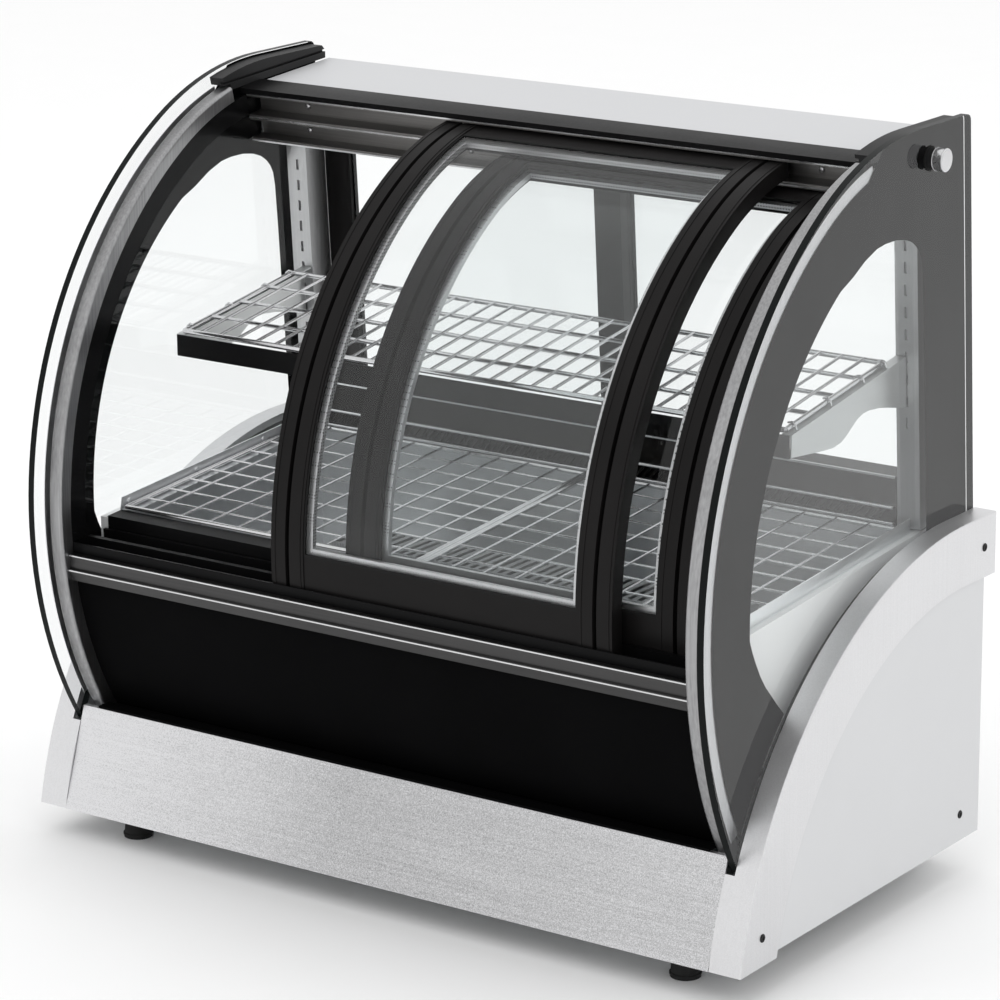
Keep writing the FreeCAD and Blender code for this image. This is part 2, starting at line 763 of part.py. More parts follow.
def leaning(item):
    """Places a piece in the axes of the rear frame, which leans forward."""
    item.Placement = FreeCAD.Placement(
        FreeCAD.Vector(0, DRIVING_SIZES["glass_back_low"], 392),
        FreeCAD.Rotation(FreeCAD.Vector(1, 0, 0), DRIVING_SIZES["lean"]),
    )
    return item


def make_rear_frame():
    """Corner posts and the tracks for the rear doors, all leaning forward a little."""
    for name, side in SIDES:
        post = new_body(f"rear_post_{name}")
        inner = size("post_inner")
        outer = inner + size("post_width")
        low_z = sized(-2)
        slab(post, rectangle(size("post_front"), size("post_back"), low_z, 372), *side_range(side, inner, outer))
        for step in range(9):
            low = low_z + 110 + step * 24
            slot = rectangle(size("post_front") - 1, size("post_front") + 4, low, low + 12)
            cut_slab(post, slot, *side_range(side, inner + 11, inner + 14.5))
        keep(leaning(post))
    half = size("post_inner") + 15
    low_track = new_body("rear_lower_track")
    high_track = new_body("rear_upper_track")
    sill = size("rear_sill")
    head = size("rear_head")
    slab(low_track, rectangle(-42, -6, sill - 2, sill + 12), -half, half)
    slab(high_track, rectangle(-42, -6, head - 12, head + 4), -half, half)
    for front in (-40, -23):
        cut_slab(low_track, rectangle(front, front + 15, sill + 2, sill + 13), -half, half)
        cut_slab(high_track, rectangle(front, front + 15, head - 13, head + 1), -half, half)
    keep(leaning(low_track))
    keep(leaning(high_track))


def make_rear_door(name, front, left):
    """Flat sliding door: a black frame round one pane."""
    left = sized(left)
    right = left + size("rear_door_width")
    low = size("rear_sill") + 3
    high = size("rear_head") - 1
    stile = size("rear_stile")
    thick = size("rear_door_thick")
    frame = new_body(f"rear_door_frame_{name}")
    front = sized(front)
    slab(frame, rectangle(front, front + thick, low, high), left, right)
    cut_slab(frame, rectangle(front - 1, front + thick + 1, low + 30, high - 34), left + stile, right - stile)
    grip = rectangle(front + thick - 5, front + thick + 1, 190, 290)
    grip_x = left + 11 if left.number < -200 else right - 21
    cut_slab(frame, grip, grip_x, grip_x + 10)
    keep(leaning(frame))
    pane = new_body(f"rear_door_glass_{name}")
    slab(pane, rectangle(front + 4, front + 9, low + 30.3, high - 34.3), left + stile + 0.3, right - stile - 0.3)
    keep(leaning(pane))


def make_rear_duct():
    """Black air duct in front of the rear wall, with a slotted grille at its foot."""
    half = 381
    duct = new_body("rear_air_duct")
    slab(duct, rectangle(-78, -46, 20, 52), -half, half)
    cut_slab(duct, rectangle(-76.5, -46, 19, 50.5), -half + 1.5, half - 1.5)
    keep(leaning(duct))
    grille = new_body("air_grille")
    slab(grille, rectangle(-78, -75.5, -2, 19.6), -half, half)
    cut = draw(grille, polygon((-376, 2), (-370.8, 2), (-359.8, 15), (-365, 15)), "XZ_Plane", 74)
    slot = pocket(grille, cut, 6, backwards=True)
    repeat(grille, slot, "X_Axis", 734, 83)
    keep(leaning(grille))


# ---------------------------------------------------------------- wire goods


def make_wire_panel(label, width, depth, crossing, along):
    """Wire rack: a frame of thick rods, then wires given as (count, radius) across it and along it."""
    body = new_body(label)
    thick = size("frame_wire")
    width = sized(width)
    depth = sized(depth)
    rods_x = draw_circles(body, [(thick, 0, thick), (depth - thick, 0, thick)], "YZ_Plane", thick)
    pad(body, rods_x, width - thick * 2)
    rods_y = draw_circles(body, [(thick, 0, thick), (width - thick, 0, thick)], "XZ_Plane", -thick)
    pad(body, rods_y, depth - thick * 2, backwards=True)
    count, radius = crossing
    gap = depth / (count + 1)
    rod = pad(body, draw_circles(body, [(gap, 0, radius)], "YZ_Plane", thick), width - thick * 2)
    doc.recompute()
    repeat(body, rod, "Y_Axis", gap * (count - 1), count)
    count, radius = along
    gap = width / (count + 1)
    wire = draw_circles(body, [(gap, radius * 0.9, radius)], "XZ_Plane", -thick)
    wire = pad(body, wire, depth - thick * 2, backwards=True)
    doc.recompute()
    repeat(body, wire, "X_Axis", gap * (count - 1), count)
    return body


def place_wire_panel(body, x, y, z, slope):
    turn = FreeCAD.Rotation(FreeCAD.Vector(1, 0, 0), slope)
    body.Placement = FreeCAD.Placement(FreeCAD.Vector(x, y, z), turn)
    keep(body)


def make_wire_goods():
    """Two lift-out deck racks and the sloping shelf with its brackets."""
    slope = DRIVING_SIZES["deck_slope"]
    front = -152
    height = deck_z(front).number + 1.6 + DRIVING_SIZES["frame_wire"]
    for name, x in (("left", -397), ("right", 1)):
        mesh = size("mesh_wire")
        rack = make_wire_panel(f"deck_rack_{name}", size("rack_width"), size("rack_depth"), (8, mesh), (9, mesh))
        place_wire_panel(rack, x, front, height, slope)
    half = DRIVING_SIZES["shelf_half"]
    wires = (3, size("frame_wire") * 0.8), (29, size("cross_wire"))
    shelf = make_wire_panel("wire_shelf", size("shelf_half") * 2, size("shelf_depth"), *wires)
    shelf_y = DRIVING_SIZES["shelf_front_y"]
    shelf_z = DRIVING_SIZES["shelf_front_z"]
    place_wire_panel(shelf, -half, shelf_y, shelf_z, DRIVING_SIZES["shelf_slope"])
    slope = size("shelf_slope")
    brackets = new_body("shelf_brackets")
    front = size("shelf_front_y") - 0.2
    rear = sized(179)
    drop = size("frame_wire") + 0.3

    def under(y):
        return size("shelf_front_z") + (y - size("shelf_front_y")) * tangent(slope) - drop

    outline = polygon((front, under(front)), (front, 516.5), (9, 510), (30, 508.5), (46, 511), (56, 515.5),
                      (65, 521), (77, 528), (88, 531.5), (100, 532.4), (122, 530.3), (139, 527), (162, 521.8),
                      (rear, 519), (rear - 3.4, under(rear - 3.4)))
    flange = polygon((front, under(front)), (rear - 3.4, under(rear - 3.4)), (rear - 3.4, under(rear - 3.4) - 1.5),
                     (front, under(front) - 1.5))
    outer = size("shelf_half") + 6
    for side in (-1, 1):
        slab(brackets, outline, *side_range(side, outer - 1.5, outer))
        slab(brackets, flange, *side_range(side, outer - 12, outer))
    keep(brackets)
    back = front - 0.2
    bar = polygon((back - 1.5, 515.5), (back + 8, 515.5), (back + 8, 516.3), (back, 516.3),
                  (back, under(back) - 0.4), (back - 1.5, under(back) - 0.4))
    simple_slab("shelf_front_bar", bar, -(outer - 1.7), outer - 1.7)


# ---------------------------------------------------------------- machine compartment


def cylinder_z(body, x, y, z, radius, height):
    pad(body, draw_circles(body, [(x, y, radius)], "XY_Plane", z), height)


def make_machinery():
    """Compressor, condenser with its fan, evaporator with its fan, and the electrical parts."""
    floor = DRIVING_SIZES["foot_height"] + 2.2
    compressor = new_body("compressor")
    cylinder_z(compressor, -250, 90, floor + 8, 68, 112)
    cylinder_z(compressor, -250, 90, floor + 118, 52, 14)
    for x, y in ((-315, 30), (-185, 30), (-315, 150), (-185, 150)):
        cylinder_z(compressor, x, y, floor, 12, 9)
    sole = rectangle(-330, -170, 15, 165)
    pad(compressor, draw(compressor, sole, "XY_Plane", floor + 8), 4)
    keep(compressor)

    fan_x = size("fan_x")
    fan_y = size("fan_y")
    fan_z = size("fan_z")
    coil = new_body("condenser_coil")
    pad(coil, draw(coil, rectangle(fan_x - 90, fan_x + 90, floor, 205), "XZ_Plane", sized(42) - fan_y), 40, backwards=True)
    fin = draw(coil, rectangle(fan_x - 86, fan_x - 82, floor + 8, 197), "XZ_Plane", sized(43) - fan_y)
    doc.recompute()
    gap = pocket(coil, fin, 34, backwards=False)
    doc.recompute()
    repeat(coil, gap, "X_Axis", 168, 22)
    keep(coil)

    shroud = new_body("fan_shroud")
    face = rectangle(fan_x - 90, fan_x + 90, floor, 205)
    pad(shroud, draw(shroud, face, "XZ_Plane", -fan_y - 24), 22, backwards=False)
    hole = draw_circles(shroud, [(fan_x, fan_z, size("fan_radius") + 4)], "XZ_Plane", -fan_y + 1)
    doc.recompute()
    pocket(shroud, hole, 30)
    keep(shroud)

    motor = new_body("fan_motor")
    pad(motor, draw_circles(motor, [(fan_x, fan_z, 24)], "XZ_Plane", -fan_y - 60), 34)
    strap = rectangle(fan_x - 88, fan_x + 88, fan_z - 6, fan_z + 6)
    pad(motor, draw(motor, strap, "XZ_Plane", -fan_y - 27), 3)
    pad(motor, draw_circles(motor, [(fan_x, fan_z, 3)], "XZ_Plane", -fan_y - 26), 18)
    keep(motor)

    rotor = new_body("condenser_fan")
    hub = draw_circles(rotor, [(fan_x, fan_z, 16)], "XZ_Plane", -fan_y - 22)
    pad(rotor, hub, 16)
    for blade in range(5):
        turn = blade * 72
        arm = Outline((fan_x + cosine(turn - 24) * 14, fan_z + sine(turn - 24) * 14))
        arm.line((fan_x + cosine(turn - 26) * size("fan_radius"), fan_z + sine(turn - 26) * size("fan_radius")))
        arm.arc((fan_x + cosine(turn + 20) * size("fan_radius"), fan_z + sine(turn + 20) * size("fan_radius")),
                (fan_x, fan_z), size("fan_radius"))
        arm.line((fan_x + cosine(turn + 24) * 14, fan_z + sine(turn + 24) * 14))
        pad(rotor, draw(rotor, arm, "XZ_Plane", -fan_y - 16), 4)
    bore = draw_circles(rotor, [(fan_x, fan_z, 3.05)], "XZ_Plane", -fan_y - 5)
    doc.recompute()
    pocket(rotor, bore, 18)
    keep(rotor)

    evaporator = new_body("evaporator_coil")
    base = DRIVING_SIZES["casing_floor"] + DRIVING_SIZES["casing_wall"] + 1.6
    pad(evaporator, draw(evaporator, rectangle(-260, 260, 40, 110), "XY_Plane", base), 62)
    slot = draw(evaporator, rectangle(-254, -248, 44, 106), "XY_Plane", base + 64)
    doc.recompute()
    gap = pocket(evaporator, slot, 58)
    doc.recompute()
    repeat(evaporator, gap, "X_Axis", 500, 42)
    keep(evaporator)


def make_rear_cover():
    """Louvred rear cover, with a thermostat, a mains inlet and a rocker switch on it."""
    rear = size("base_rear") - 3.5
    cover = new_body("rear_cover")
    low = size("foot_height") + 22.5
    pad(cover, draw(cover, rectangle(-415, 415, low, 208), "XZ_Plane", -rear - 1.5), 1.5)
    window = draw(cover, rectangle(fan_left(), fan_left() + 150, 84, 88), "XZ_Plane", -rear - 2)
    doc.recompute()
    louvre = pocket(cover, window, 4, backwards=True)
    doc.recompute()
    repeat(cover, louvre, "Z_Axis", 90, 11)
    holes = draw(cover, rectangle(-392, -368, 118.5, 147.5), "XZ_Plane", -rear - 2)
    pocket(cover, holes, 4, backwards=True)
    keep(cover)

    box = new_body("control_box")
    pad(box, draw(box, rectangle(-400, -340, 70, 190), "XZ_Plane", -rear + 0.2), 38)
    recess = draw(box, rectangle(-393, -367, 117, 149), "XZ_Plane", -rear - 1)
    doc.recompute()
    pocket(box, recess, 20, backwards=True)
    pivot = (rear - 5, 133)
    pad(box, draw_circles(box, [(*pivot, 1.5)], "YZ_Plane", -394), 28)
    keep(box)

    fittings = new_body("rear_fittings")
    pad(fittings, draw(fittings, rectangle(-330, -262, 120, 154), "XZ_Plane", -rear - 9), 7.4)
    pad(fittings, draw(fittings, rectangle(330, 364, 72, 98), "XZ_Plane", -rear - 10), 8.4)
    socket = draw(fittings, rectangle(334, 360, 76, 94), "XZ_Plane", -rear - 11)
    doc.recompute()
    pocket(fittings, socket, 6, backwards=True)
    keep(fittings)

    rocker = new_body("power_switch")
    body_outline = Outline((rear - 9, 121))
    body_outline.lines((rear + 3.5, 120.5), (rear + 2, 133), (rear + 3.5, 145.5), (rear - 9, 145))
    slab(rocker, body_outline, -390, -370)
    bore = draw_circles(rocker, [(*pivot, 1.55)], "YZ_Plane", -369)
    doc.recompute()
    pocket(rocker, bore, 22)
    keep(rocker)


def fan_left():
    return size("fan_x") - 75


make_base_pan()
make_feet()
make_kick_panel()
make_arch_trims()
make_side_panels()
make_side_screws()
make_front_lower_panel()
make_sill_rail()
make_door_tracks()
make_roof()
make_lamp()
make_bows_and_jambs()
make_side_glass()
make_glass_fixings()
make_front_door("outer", "outer_lane", "outer_door_x")
make_front_door("inner", "inner_lane", "inner_door_x")
make_casing()
make_liner()
make_rear_frame()
make_rear_door("left", -39, -386)
make_rear_door("right", -22, -18)
make_rear_duct()
make_wire_goods()
make_machinery()
make_rear_cover()
doc.recompute()

# ---------------------------------------------------------------- checks and export

broken = [item.Name for item in doc.Objects if "Invalid" in item.State or "Error" in item.State]
broken += [node.Label for node in NODES if node.Shape.isNull() or not node.Shape.isValid()]
if broken:
    raise RuntimeError(f"failed: {broken}")

os.makedirs("parts", exist_ok=True)
for node in NODES:
    node.Shape.exportStep(f"parts/{node.Label}.step")
print(len(NODES), "parts written")
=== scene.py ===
import math

import bmesh
import bpy
from mathutils import Matrix, Vector


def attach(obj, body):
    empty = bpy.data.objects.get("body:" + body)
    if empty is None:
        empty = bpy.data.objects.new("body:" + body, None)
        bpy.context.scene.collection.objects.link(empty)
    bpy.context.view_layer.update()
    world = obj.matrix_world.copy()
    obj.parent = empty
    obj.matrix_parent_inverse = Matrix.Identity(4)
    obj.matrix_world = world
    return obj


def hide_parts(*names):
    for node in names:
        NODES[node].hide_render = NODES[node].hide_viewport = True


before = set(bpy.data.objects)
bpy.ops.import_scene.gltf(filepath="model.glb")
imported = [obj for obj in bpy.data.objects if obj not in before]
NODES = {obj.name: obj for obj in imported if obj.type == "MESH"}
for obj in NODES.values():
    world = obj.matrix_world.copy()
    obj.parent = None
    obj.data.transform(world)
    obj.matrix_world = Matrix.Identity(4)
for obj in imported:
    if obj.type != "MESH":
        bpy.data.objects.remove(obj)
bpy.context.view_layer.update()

MM = 0.001

# ---------------------------------------------------------------- the case's profile, in millimetres

LOW_CENTRE = (200.5, 371.5)
LOW_RADIUS = 468.5
HIGH_RADIUS = 342.3
JOIN = 59.8
STEP = LOW_RADIUS - HIGH_RADIUS
HIGH_CENTRE = (
    LOW_CENTRE[0] - STEP * math.cos(math.radians(JOIN)),
    LOW_CENTRE[1] + STEP * math.sin(math.radians(JOIN)),
)
ARCH_CENTRE = (200.5, -53.0)
LEAN = math.radians(3.5)


def on_glass(offset, angle):
    """(y, z) a distance inside the front curve, at an angle above the direction that faces the front."""
    centre, radius = (LOW_CENTRE, LOW_RADIUS) if angle <= JOIN else (HIGH_CENTRE, HIGH_RADIUS)
    turn = math.radians(angle)
    return centre[0] - (radius - offset) * math.cos(turn), centre[1] + (radius - offset) * math.sin(turn)


def glass_run(offset, low, high, steps):
    """Points along the offset curve, between two angles."""
    angles = [low + (high - low) * index / steps for index in range(steps + 1)]
    return [on_glass(offset, angle) for angle in angles]


def leaned(y, z):
    """(y, z) of a point given in the leaning rear frame's own axes."""
    return (
        266 + y * math.cos(LEAN) - z * math.sin(LEAN),
        392 + y * math.sin(LEAN) + z * math.cos(LEAN),
    )


# ---------------------------------------------------------------- materials


class Graph:
    """A material's node tree, with short ways to add and join nodes."""

    def __init__(self, name):
        self.material = bpy.data.materials.new(name)
        self.material.use_nodes = True
        self.tree = self.material.node_tree
        self.tree.nodes.clear()
        self.output = self.tree.nodes.new("ShaderNodeOutputMaterial")

    def add(self, kind, **settings):
        node = self.tree.nodes.new(kind)
        for key, value in settings.items():
            setattr(node, key, value)
        return node

    def join(self, source, target):
        self.tree.links.new(source, target)

    def fill(self, node, **values):
        for key, value in values.items():
            node.inputs[key.replace("_", " ")].default_value = value
        return node

    def math(self, operation, first, second=None, third=None, clamp=False):
        node = self.add("ShaderNodeMath", operation=operation, use_clamp=clamp)
        for index, value in enumerate((first, second, third)):
            if value is None:
                continue
            if isinstance(value, (int, float)):
                node.inputs[index].default_value = value
            else:
                self.join(value, node.inputs[index])
        return node.outputs[0]

    def place(self, scale=(1, 1, 1)):
        """Object coordinates, in metres, stretched."""
        coordinates = self.add("ShaderNodeTexCoord")
        mapping = self.add("ShaderNodeMapping")
        mapping.inputs["Scale"].default_value = scale
        self.join(coordinates.outputs["Object"], mapping.inputs["Vector"])
        return mapping.outputs["Vector"]

    def noise(self, scale, stretch=(1, 1, 1), detail=4.0, rough=0.6):
        node = self.add("ShaderNodeTexNoise")
        self.fill(node, Scale=scale, Detail=detail, Roughness=rough)
        self.join(self.place(stretch), node.inputs["Vector"])
        return node.outputs["Fac"]

    def spread(self, value, low, high, start=0.3, end=0.7):
        """A 0 to 1 value mapped onto another range."""
        node = self.add("ShaderNodeMapRange")
        for index, number in enumerate((start, end, low, high), start=1):
            node.inputs[index].default_value = number
        self.join(value, node.inputs[0])
        return node.outputs[0]

    def tint(self, factor, first, second):
        node = self.add("ShaderNodeMix", data_type="RGBA")
        node.inputs["A"].default_value = (*first, 1)
        node.inputs["B"].default_value = (*second, 1)
        self.join(factor, node.inputs["Factor"])
        return node.outputs["Result"]

    def bump(self, height, strength, distance):
        node = self.add("ShaderNodeBump")
        self.fill(node, Strength=strength, Distance=distance)
        self.join(height, node.inputs["Height"])
        return node.outputs["Normal"]

    def principled(self, **values):
        shader = self.add("ShaderNodeBsdfPrincipled")
        self.fill(shader, **values)
        self.join(shader.outputs[0], self.output.inputs["Surface"])
        return shader


def scaled(colour, factor):
    """A colour made lighter or darker."""
    return tuple(min(1.0, channel * factor) for channel in colour)


def metal(name, colour, roughness, grain, depth=0.25, swing=0.07, speckle=0.0, painted_reflection=0.0):
    """Metal with grain along one axis and slow patches of wear; painted_reflection paints a reflection onto
    it: lighter at the left end and, less, at the right end, darkest in the middle.
    """
    graph = Graph(name)
    shader = graph.principled(Metallic=1.0)
    stretch = {"x": (4, 420, 420), "y": (420, 4, 420), "z": (420, 420, 4), "none": (300, 300, 300)}[grain]
    lines = graph.noise(1.0, stretch, detail=3.0)
    patches = graph.noise(9.0, detail=5.0)
    weight, worn = (0.18, 0.07) if painted_reflection else (0.6, 0.4)
    tone = graph.math("MULTIPLY_ADD", graph.spread(lines, -1, 1), weight, graph.spread(patches, -worn, worn))
    if speckle:
        dots = graph.noise(900.0, detail=2.0)
        tone = graph.math("MULTIPLY_ADD", graph.spread(dots, -1, 1, 0.35, 0.65), speckle, tone)
    # Painted reflection: the colour is lightened towards the left end and, less, towards the right end along
    # X.
    if painted_reflection:
        parts = graph.add("ShaderNodeSeparateXYZ")
        graph.join(graph.place(), parts.inputs[0])
        tone = graph.math("ADD", tone, graph.spread(parts.outputs["X"], painted_reflection, 0.0, -0.45, -0.05))
        tone = graph.math("ADD", tone, graph.spread(parts.outputs["X"], 0.0, 0.28 * painted_reflection, 0.05, 0.42))
    factor = graph.math("MULTIPLY_ADD", tone, 0.5, 0.5, clamp=True)
    shade = graph.tint(factor, scaled(colour, 1 - swing), scaled(colour, 1 + swing))
    graph.join(shade, shader.inputs["Base Color"])
    gloss = graph.spread(factor, roughness - 0.05, roughness + 0.06, 0.1, 0.9)
    graph.join(gloss, shader.inputs["Roughness"])
    graph.join(graph.bump(lines, depth, 0.00005), shader.inputs["Normal"])
    return graph.material


def paint(name, colour, roughness, specular=0.5, peel=0.12, peel_scale=260.0, coat=0.0, wear=0.12):
    """Powder coat, lacquer or moulded plastic: fine texture, and slow changes of tone and gloss."""
    graph = Graph(name)
    shader = graph.principled(Metallic=0.0, Specular_IOR_Level=specular, Coat_Weight=coat)
    texture = graph.noise(peel_scale, detail=3.0)
    patches = graph.noise(7.0, detail=6.0)
    factor = graph.spread(patches, 0.0, 1.0, 0.3, 0.7)
    shade = graph.tint(factor, scaled(colour, 1 - wear), scaled(colour, 1 + wear))
    graph.join(shade, shader.inputs["Base Color"])
    base_gloss = graph.spread(patches, roughness - 0.09, roughness - 0.01)
    gloss = graph.math("MULTIPLY_ADD", texture, 0.10, base_gloss)
    graph.join(gloss, shader.inputs["Roughness"])
    graph.join(graph.bump(texture, peel, 0.0002), shader.inputs["Normal"])
    return graph.material


def pane(name, tint, strength=1.0, edge=(0.010, 0.016, 0.015), painted_dark_edge=True):
    """Clear sheet glass: it lets light through and mirrors more at a slant; its ground edges can be painted
    near black, a painted reflection of the dark border seen inside the glass edge-on.
    """
    graph = Graph(name)
    fresnel = graph.add("ShaderNodeFresnel")
    graph.fill(fresnel, IOR=1.5)
    geometry = graph.add("ShaderNodeNewGeometry")
    doubled = graph.math("MULTIPLY", fresnel.outputs[0], 2.0)
    both = graph.math("DIVIDE", doubled, graph.math("ADD", fresnel.outputs[0], 1.0))
    front = graph.math("SUBTRACT", 1.0, geometry.outputs["Backfacing"])
    smears = graph.spread(graph.noise(14.0, (1, 1, 0.4), detail=6.0), 0.97, 1.03)
    factor = graph.math("MULTIPLY", graph.math("MULTIPLY", both, front), smears)
    factor = graph.math("MULTIPLY", factor, strength, clamp=True)
    clear = graph.add("ShaderNodeBsdfTransparent")
    body_tint = graph.tint(graph.noise(3.0), scaled(tint, 0.995), scaled(tint, 1.005))
    graph.join(body_tint, clear.inputs["Color"])
    mirror = graph.add("ShaderNodeBsdfGlossy")
    graph.fill(mirror, Color=(1, 1, 1, 1), Roughness=0.0)
    body = graph.add("ShaderNodeMixShader")
    graph.join(factor, body.inputs[0])
    graph.join(clear.outputs[0], body.inputs[1])
    graph.join(mirror.outputs[0], body.inputs[2])
    result = body.outputs[0]
    # Painted reflection: the edge faces are painted near black, for the dark border seen through the glass
    # edge-on.
    if painted_dark_edge:
        ground = graph.add("ShaderNodeBsdfPrincipled")
        graph.fill(ground, Roughness=0.35, Specular_IOR_Level=0.10)
        grain = graph.noise(500.0)
        graph.join(graph.tint(grain, scaled(edge, 0.7), scaled(edge, 1.6)), ground.inputs["Base Color"])
        parts = graph.add("ShaderNodeSeparateXYZ")
        graph.join(geometry.outputs["Normal"], parts.inputs[0])
        sideways = graph.math("ABSOLUTE", parts.outputs["X"])
        is_edge = graph.math("LESS_THAN", sideways, 0.5)
        whole = graph.add("ShaderNodeMixShader")
        graph.join(is_edge, whole.inputs[0])
        graph.join(result, whole.inputs[1])
        graph.join(ground.outputs[0], whole.inputs[2])
        result = whole.outputs[0]
    graph.join(result, graph.output.inputs["Surface"])
    return graph.material


def spacer_bar():
    """Bright spacer between the panes, with the fine rows of holes that let its drying beads work."""
    graph = Graph("spacer_bar")
    shader = graph.principled(Metallic=0.9)
    vector = graph.place((300, 300, 300))
    dots = graph.add("ShaderNodeTexVoronoi")
    graph.fill(dots, Scale=1.0, Randomness=0.05)
    graph.join(vector, dots.inputs["Vector"])
    hole = graph.spread(dots.outputs["Distance"], 0.0, 1.0, 0.18, 0.34)
    graph.join(graph.tint(hole, (0.07, 0.07, 0.07), (0.55, 0.55, 0.56)), shader.inputs["Base Color"])
    graph.join(graph.spread(hole, 0.55, 0.36, 0.0, 1.0), shader.inputs["Roughness"])
    graph.join(graph.bump(hole, 0.4, 0.0003), shader.inputs["Normal"])
    return graph.material


def fins(name, colour):
    """Thin pressed fins, packed close; the bands between them are darkened, painted shade in the gaps."""
    graph = Graph(name)
    shader = graph.principled(Metallic=1.0)
    wave = graph.add("ShaderNodeTexWave", wave_type="BANDS", bands_direction="X")
    graph.fill(wave, Scale=140.0, Distortion=0.4)
    graph.join(graph.place(), wave.inputs["Vector"])
    # Painted shade: the gaps between the fins are darkened to about a third of the fin colour.
    graph.join(graph.tint(wave.outputs["Fac"], scaled(colour, 0.35), colour), shader.inputs["Base Color"])
    graph.join(graph.spread(wave.outputs["Fac"], 0.5, 0.3, 0.0, 1.0), shader.inputs["Roughness"])
    graph.join(graph.bump(wave.outputs["Fac"], 0.6, 0.0005), shader.inputs["Normal"])
    return graph.material


# The kick panel's silver carries a painted reflection: lighter towards both ends, darkest in the middle.
SATIN_SILVER = metal(
    "satin_silver", (0.50, 0.50, 0.508),
    0.42, "x", depth=0.06, swing=0.50, speckle=0.70, painted_reflection=1.25,
)
SATIN_SILVER_SIDE = metal(
    "satin_silver_side", (0.72, 0.72, 0.73),
    0.42, "z", depth=0.08, swing=0.05, speckle=0.9,
)
GREY_SHEET = paint("grey_sheet", (0.64, 0.645, 0.655), 0.50, specular=0.3, peel=0.05, wear=0.015)
# Painted shade: the top panel takes a darker copy of the side panels' grey paint, for the light that falls on
# its top.
SHADED_GREY_ROOF = paint("grey_roof_painted_shade", (0.555, 0.56, 0.572), 0.50, specular=0.3, peel=0.05, wear=0.015)
GALVANISED = metal("galvanised", (0.55, 0.57, 0.58), 0.45, "none", depth=0.1, swing=0.16)
RUBBER = paint("rubber", (0.018, 0.018, 0.018), 0.8, specular=0.2, peel=0.4, wear=0.25)
BLACK_PANEL = paint("black_panel", (0.0030, 0.0030, 0.0032), 0.62, specular=0.012, peel=0.05, wear=0.2)
BLACK_SHEET = paint("black_sheet", (0.0045, 0.0045, 0.0048), 0.36, specular=0.07, peel=0.10, wear=0.25)
JAMB_BLACK = paint("jamb_black", (0.0045, 0.0045, 0.0048), 0.22, specular=0.12, peel=0.05, wear=0.25)
BLACK_DUCT = paint("black_duct", (0.009, 0.008, 0.007), 0.34, specular=0.14, peel=0.12, wear=0.3)
TRACK_METAL = metal("track_metal", (0.20, 0.195, 0.19), 0.42, "x", depth=0.35, swing=0.22)
SILL_METAL = metal("sill_metal", (0.072, 0.071, 0.071), 0.40, "x", depth=0.4, swing=0.16)
LIP_METAL = metal("lip_metal", (0.72, 0.72, 0.73), 0.26, "x", depth=0.2, swing=0.08)
BOW_BRIGHT = metal("bow_flange", (0.62, 0.62, 0.63), 0.42, "z", depth=0.3, swing=0.10)
BOW_METAL = metal("bow_metal", (0.34, 0.34, 0.345), 0.36, "z", depth=0.5, swing=0.30)
POST_METAL = metal("post_metal", (0.50, 0.50, 0.505), 0.36, "z", depth=0.3, swing=0.08)
SHELF_METAL = metal("shelf_metal", (0.58, 0.59, 0.59), 0.42, "y", depth=0.2, swing=0.06)
STILE_BLACK = paint(
    "stile_black", (0.0085, 0.0078, 0.0078),
    0.42, specular=0.11, peel=0.16, peel_scale=420.0, wear=0.25,
)
PLASTIC = paint(
    "textured_plastic", (0.012, 0.012, 0.0125),
    0.50, specular=0.22, peel=0.6, peel_scale=700.0, wear=0.2,
)
GASKET = paint("gasket_rubber", (0.006, 0.006, 0.006), 0.68, specular=0.2, peel=0.25, wear=0.3)
FRIT = paint("ceramic_frit", (0.0035, 0.0035, 0.0038), 0.75, specular=0.02, peel=0.02, wear=0.2)
WHITE_CASE = paint("white_casing", (0.80, 0.81, 0.81), 0.40, peel=0.05, wear=0.02)
LINER = metal("liner_sheet", (0.86, 0.87, 0.88), 0.33, "x", depth=0.1, swing=0.04)
CHROME = metal("chrome_wire", (0.66, 0.66, 0.67), 0.16, "none", depth=0.05, swing=0.08)
LENS = paint("lamp_lens", (0.88, 0.88, 0.85), 0.35, specular=0.5, peel=0.1, wear=0.03)
COMPRESSOR = paint(
    "compressor_paint", (0.010, 0.010, 0.011),
    0.28, specular=0.5, coat=0.3, peel=0.2, wear=0.3,
)
SWITCH = paint("switch_green", (0.02, 0.30, 0.09), 0.22, specular=0.5, coat=0.4, peel=0.03, wear=0.08)
SCREW = metal("screw_steel", (0.55, 0.55, 0.56), 0.28, "none", depth=0.1, swing=0.12)
COPPER = metal("copper_pipe", (0.72, 0.36, 0.22), 0.30, "none", depth=0.1, swing=0.16)
DISPLAY = paint(
    "display_window", (0.004, 0.002, 0.002),
    0.12, specular=0.5, coat=0.6, peel=0.02, wear=0.2,
)
DIGITS = paint("display_digits", (0.60, 0.05, 0.03), 0.4, specular=0.3, peel=0.02, wear=0.05)
MARK = paint("printed_mark", (0.75, 0.76, 0.76), 0.5, specular=0.3, peel=0.02, wear=0.05)
SPACER = spacer_bar()
FINS = fins("coil_fins", (0.72, 0.73, 0.74))
SIDE_PANE = pane("side_pane", (0.975, 0.98, 0.98), strength=0.56, edge=(0.003, 0.004, 0.004))
DOOR_PANE = pane("door_pane", (0.975, 0.98, 0.98), strength=0.28, painted_dark_edge=False)
CLEAR_PANE = pane("clear_pane", (0.98, 0.985, 0.985), strength=0.35, painted_dark_edge=False)

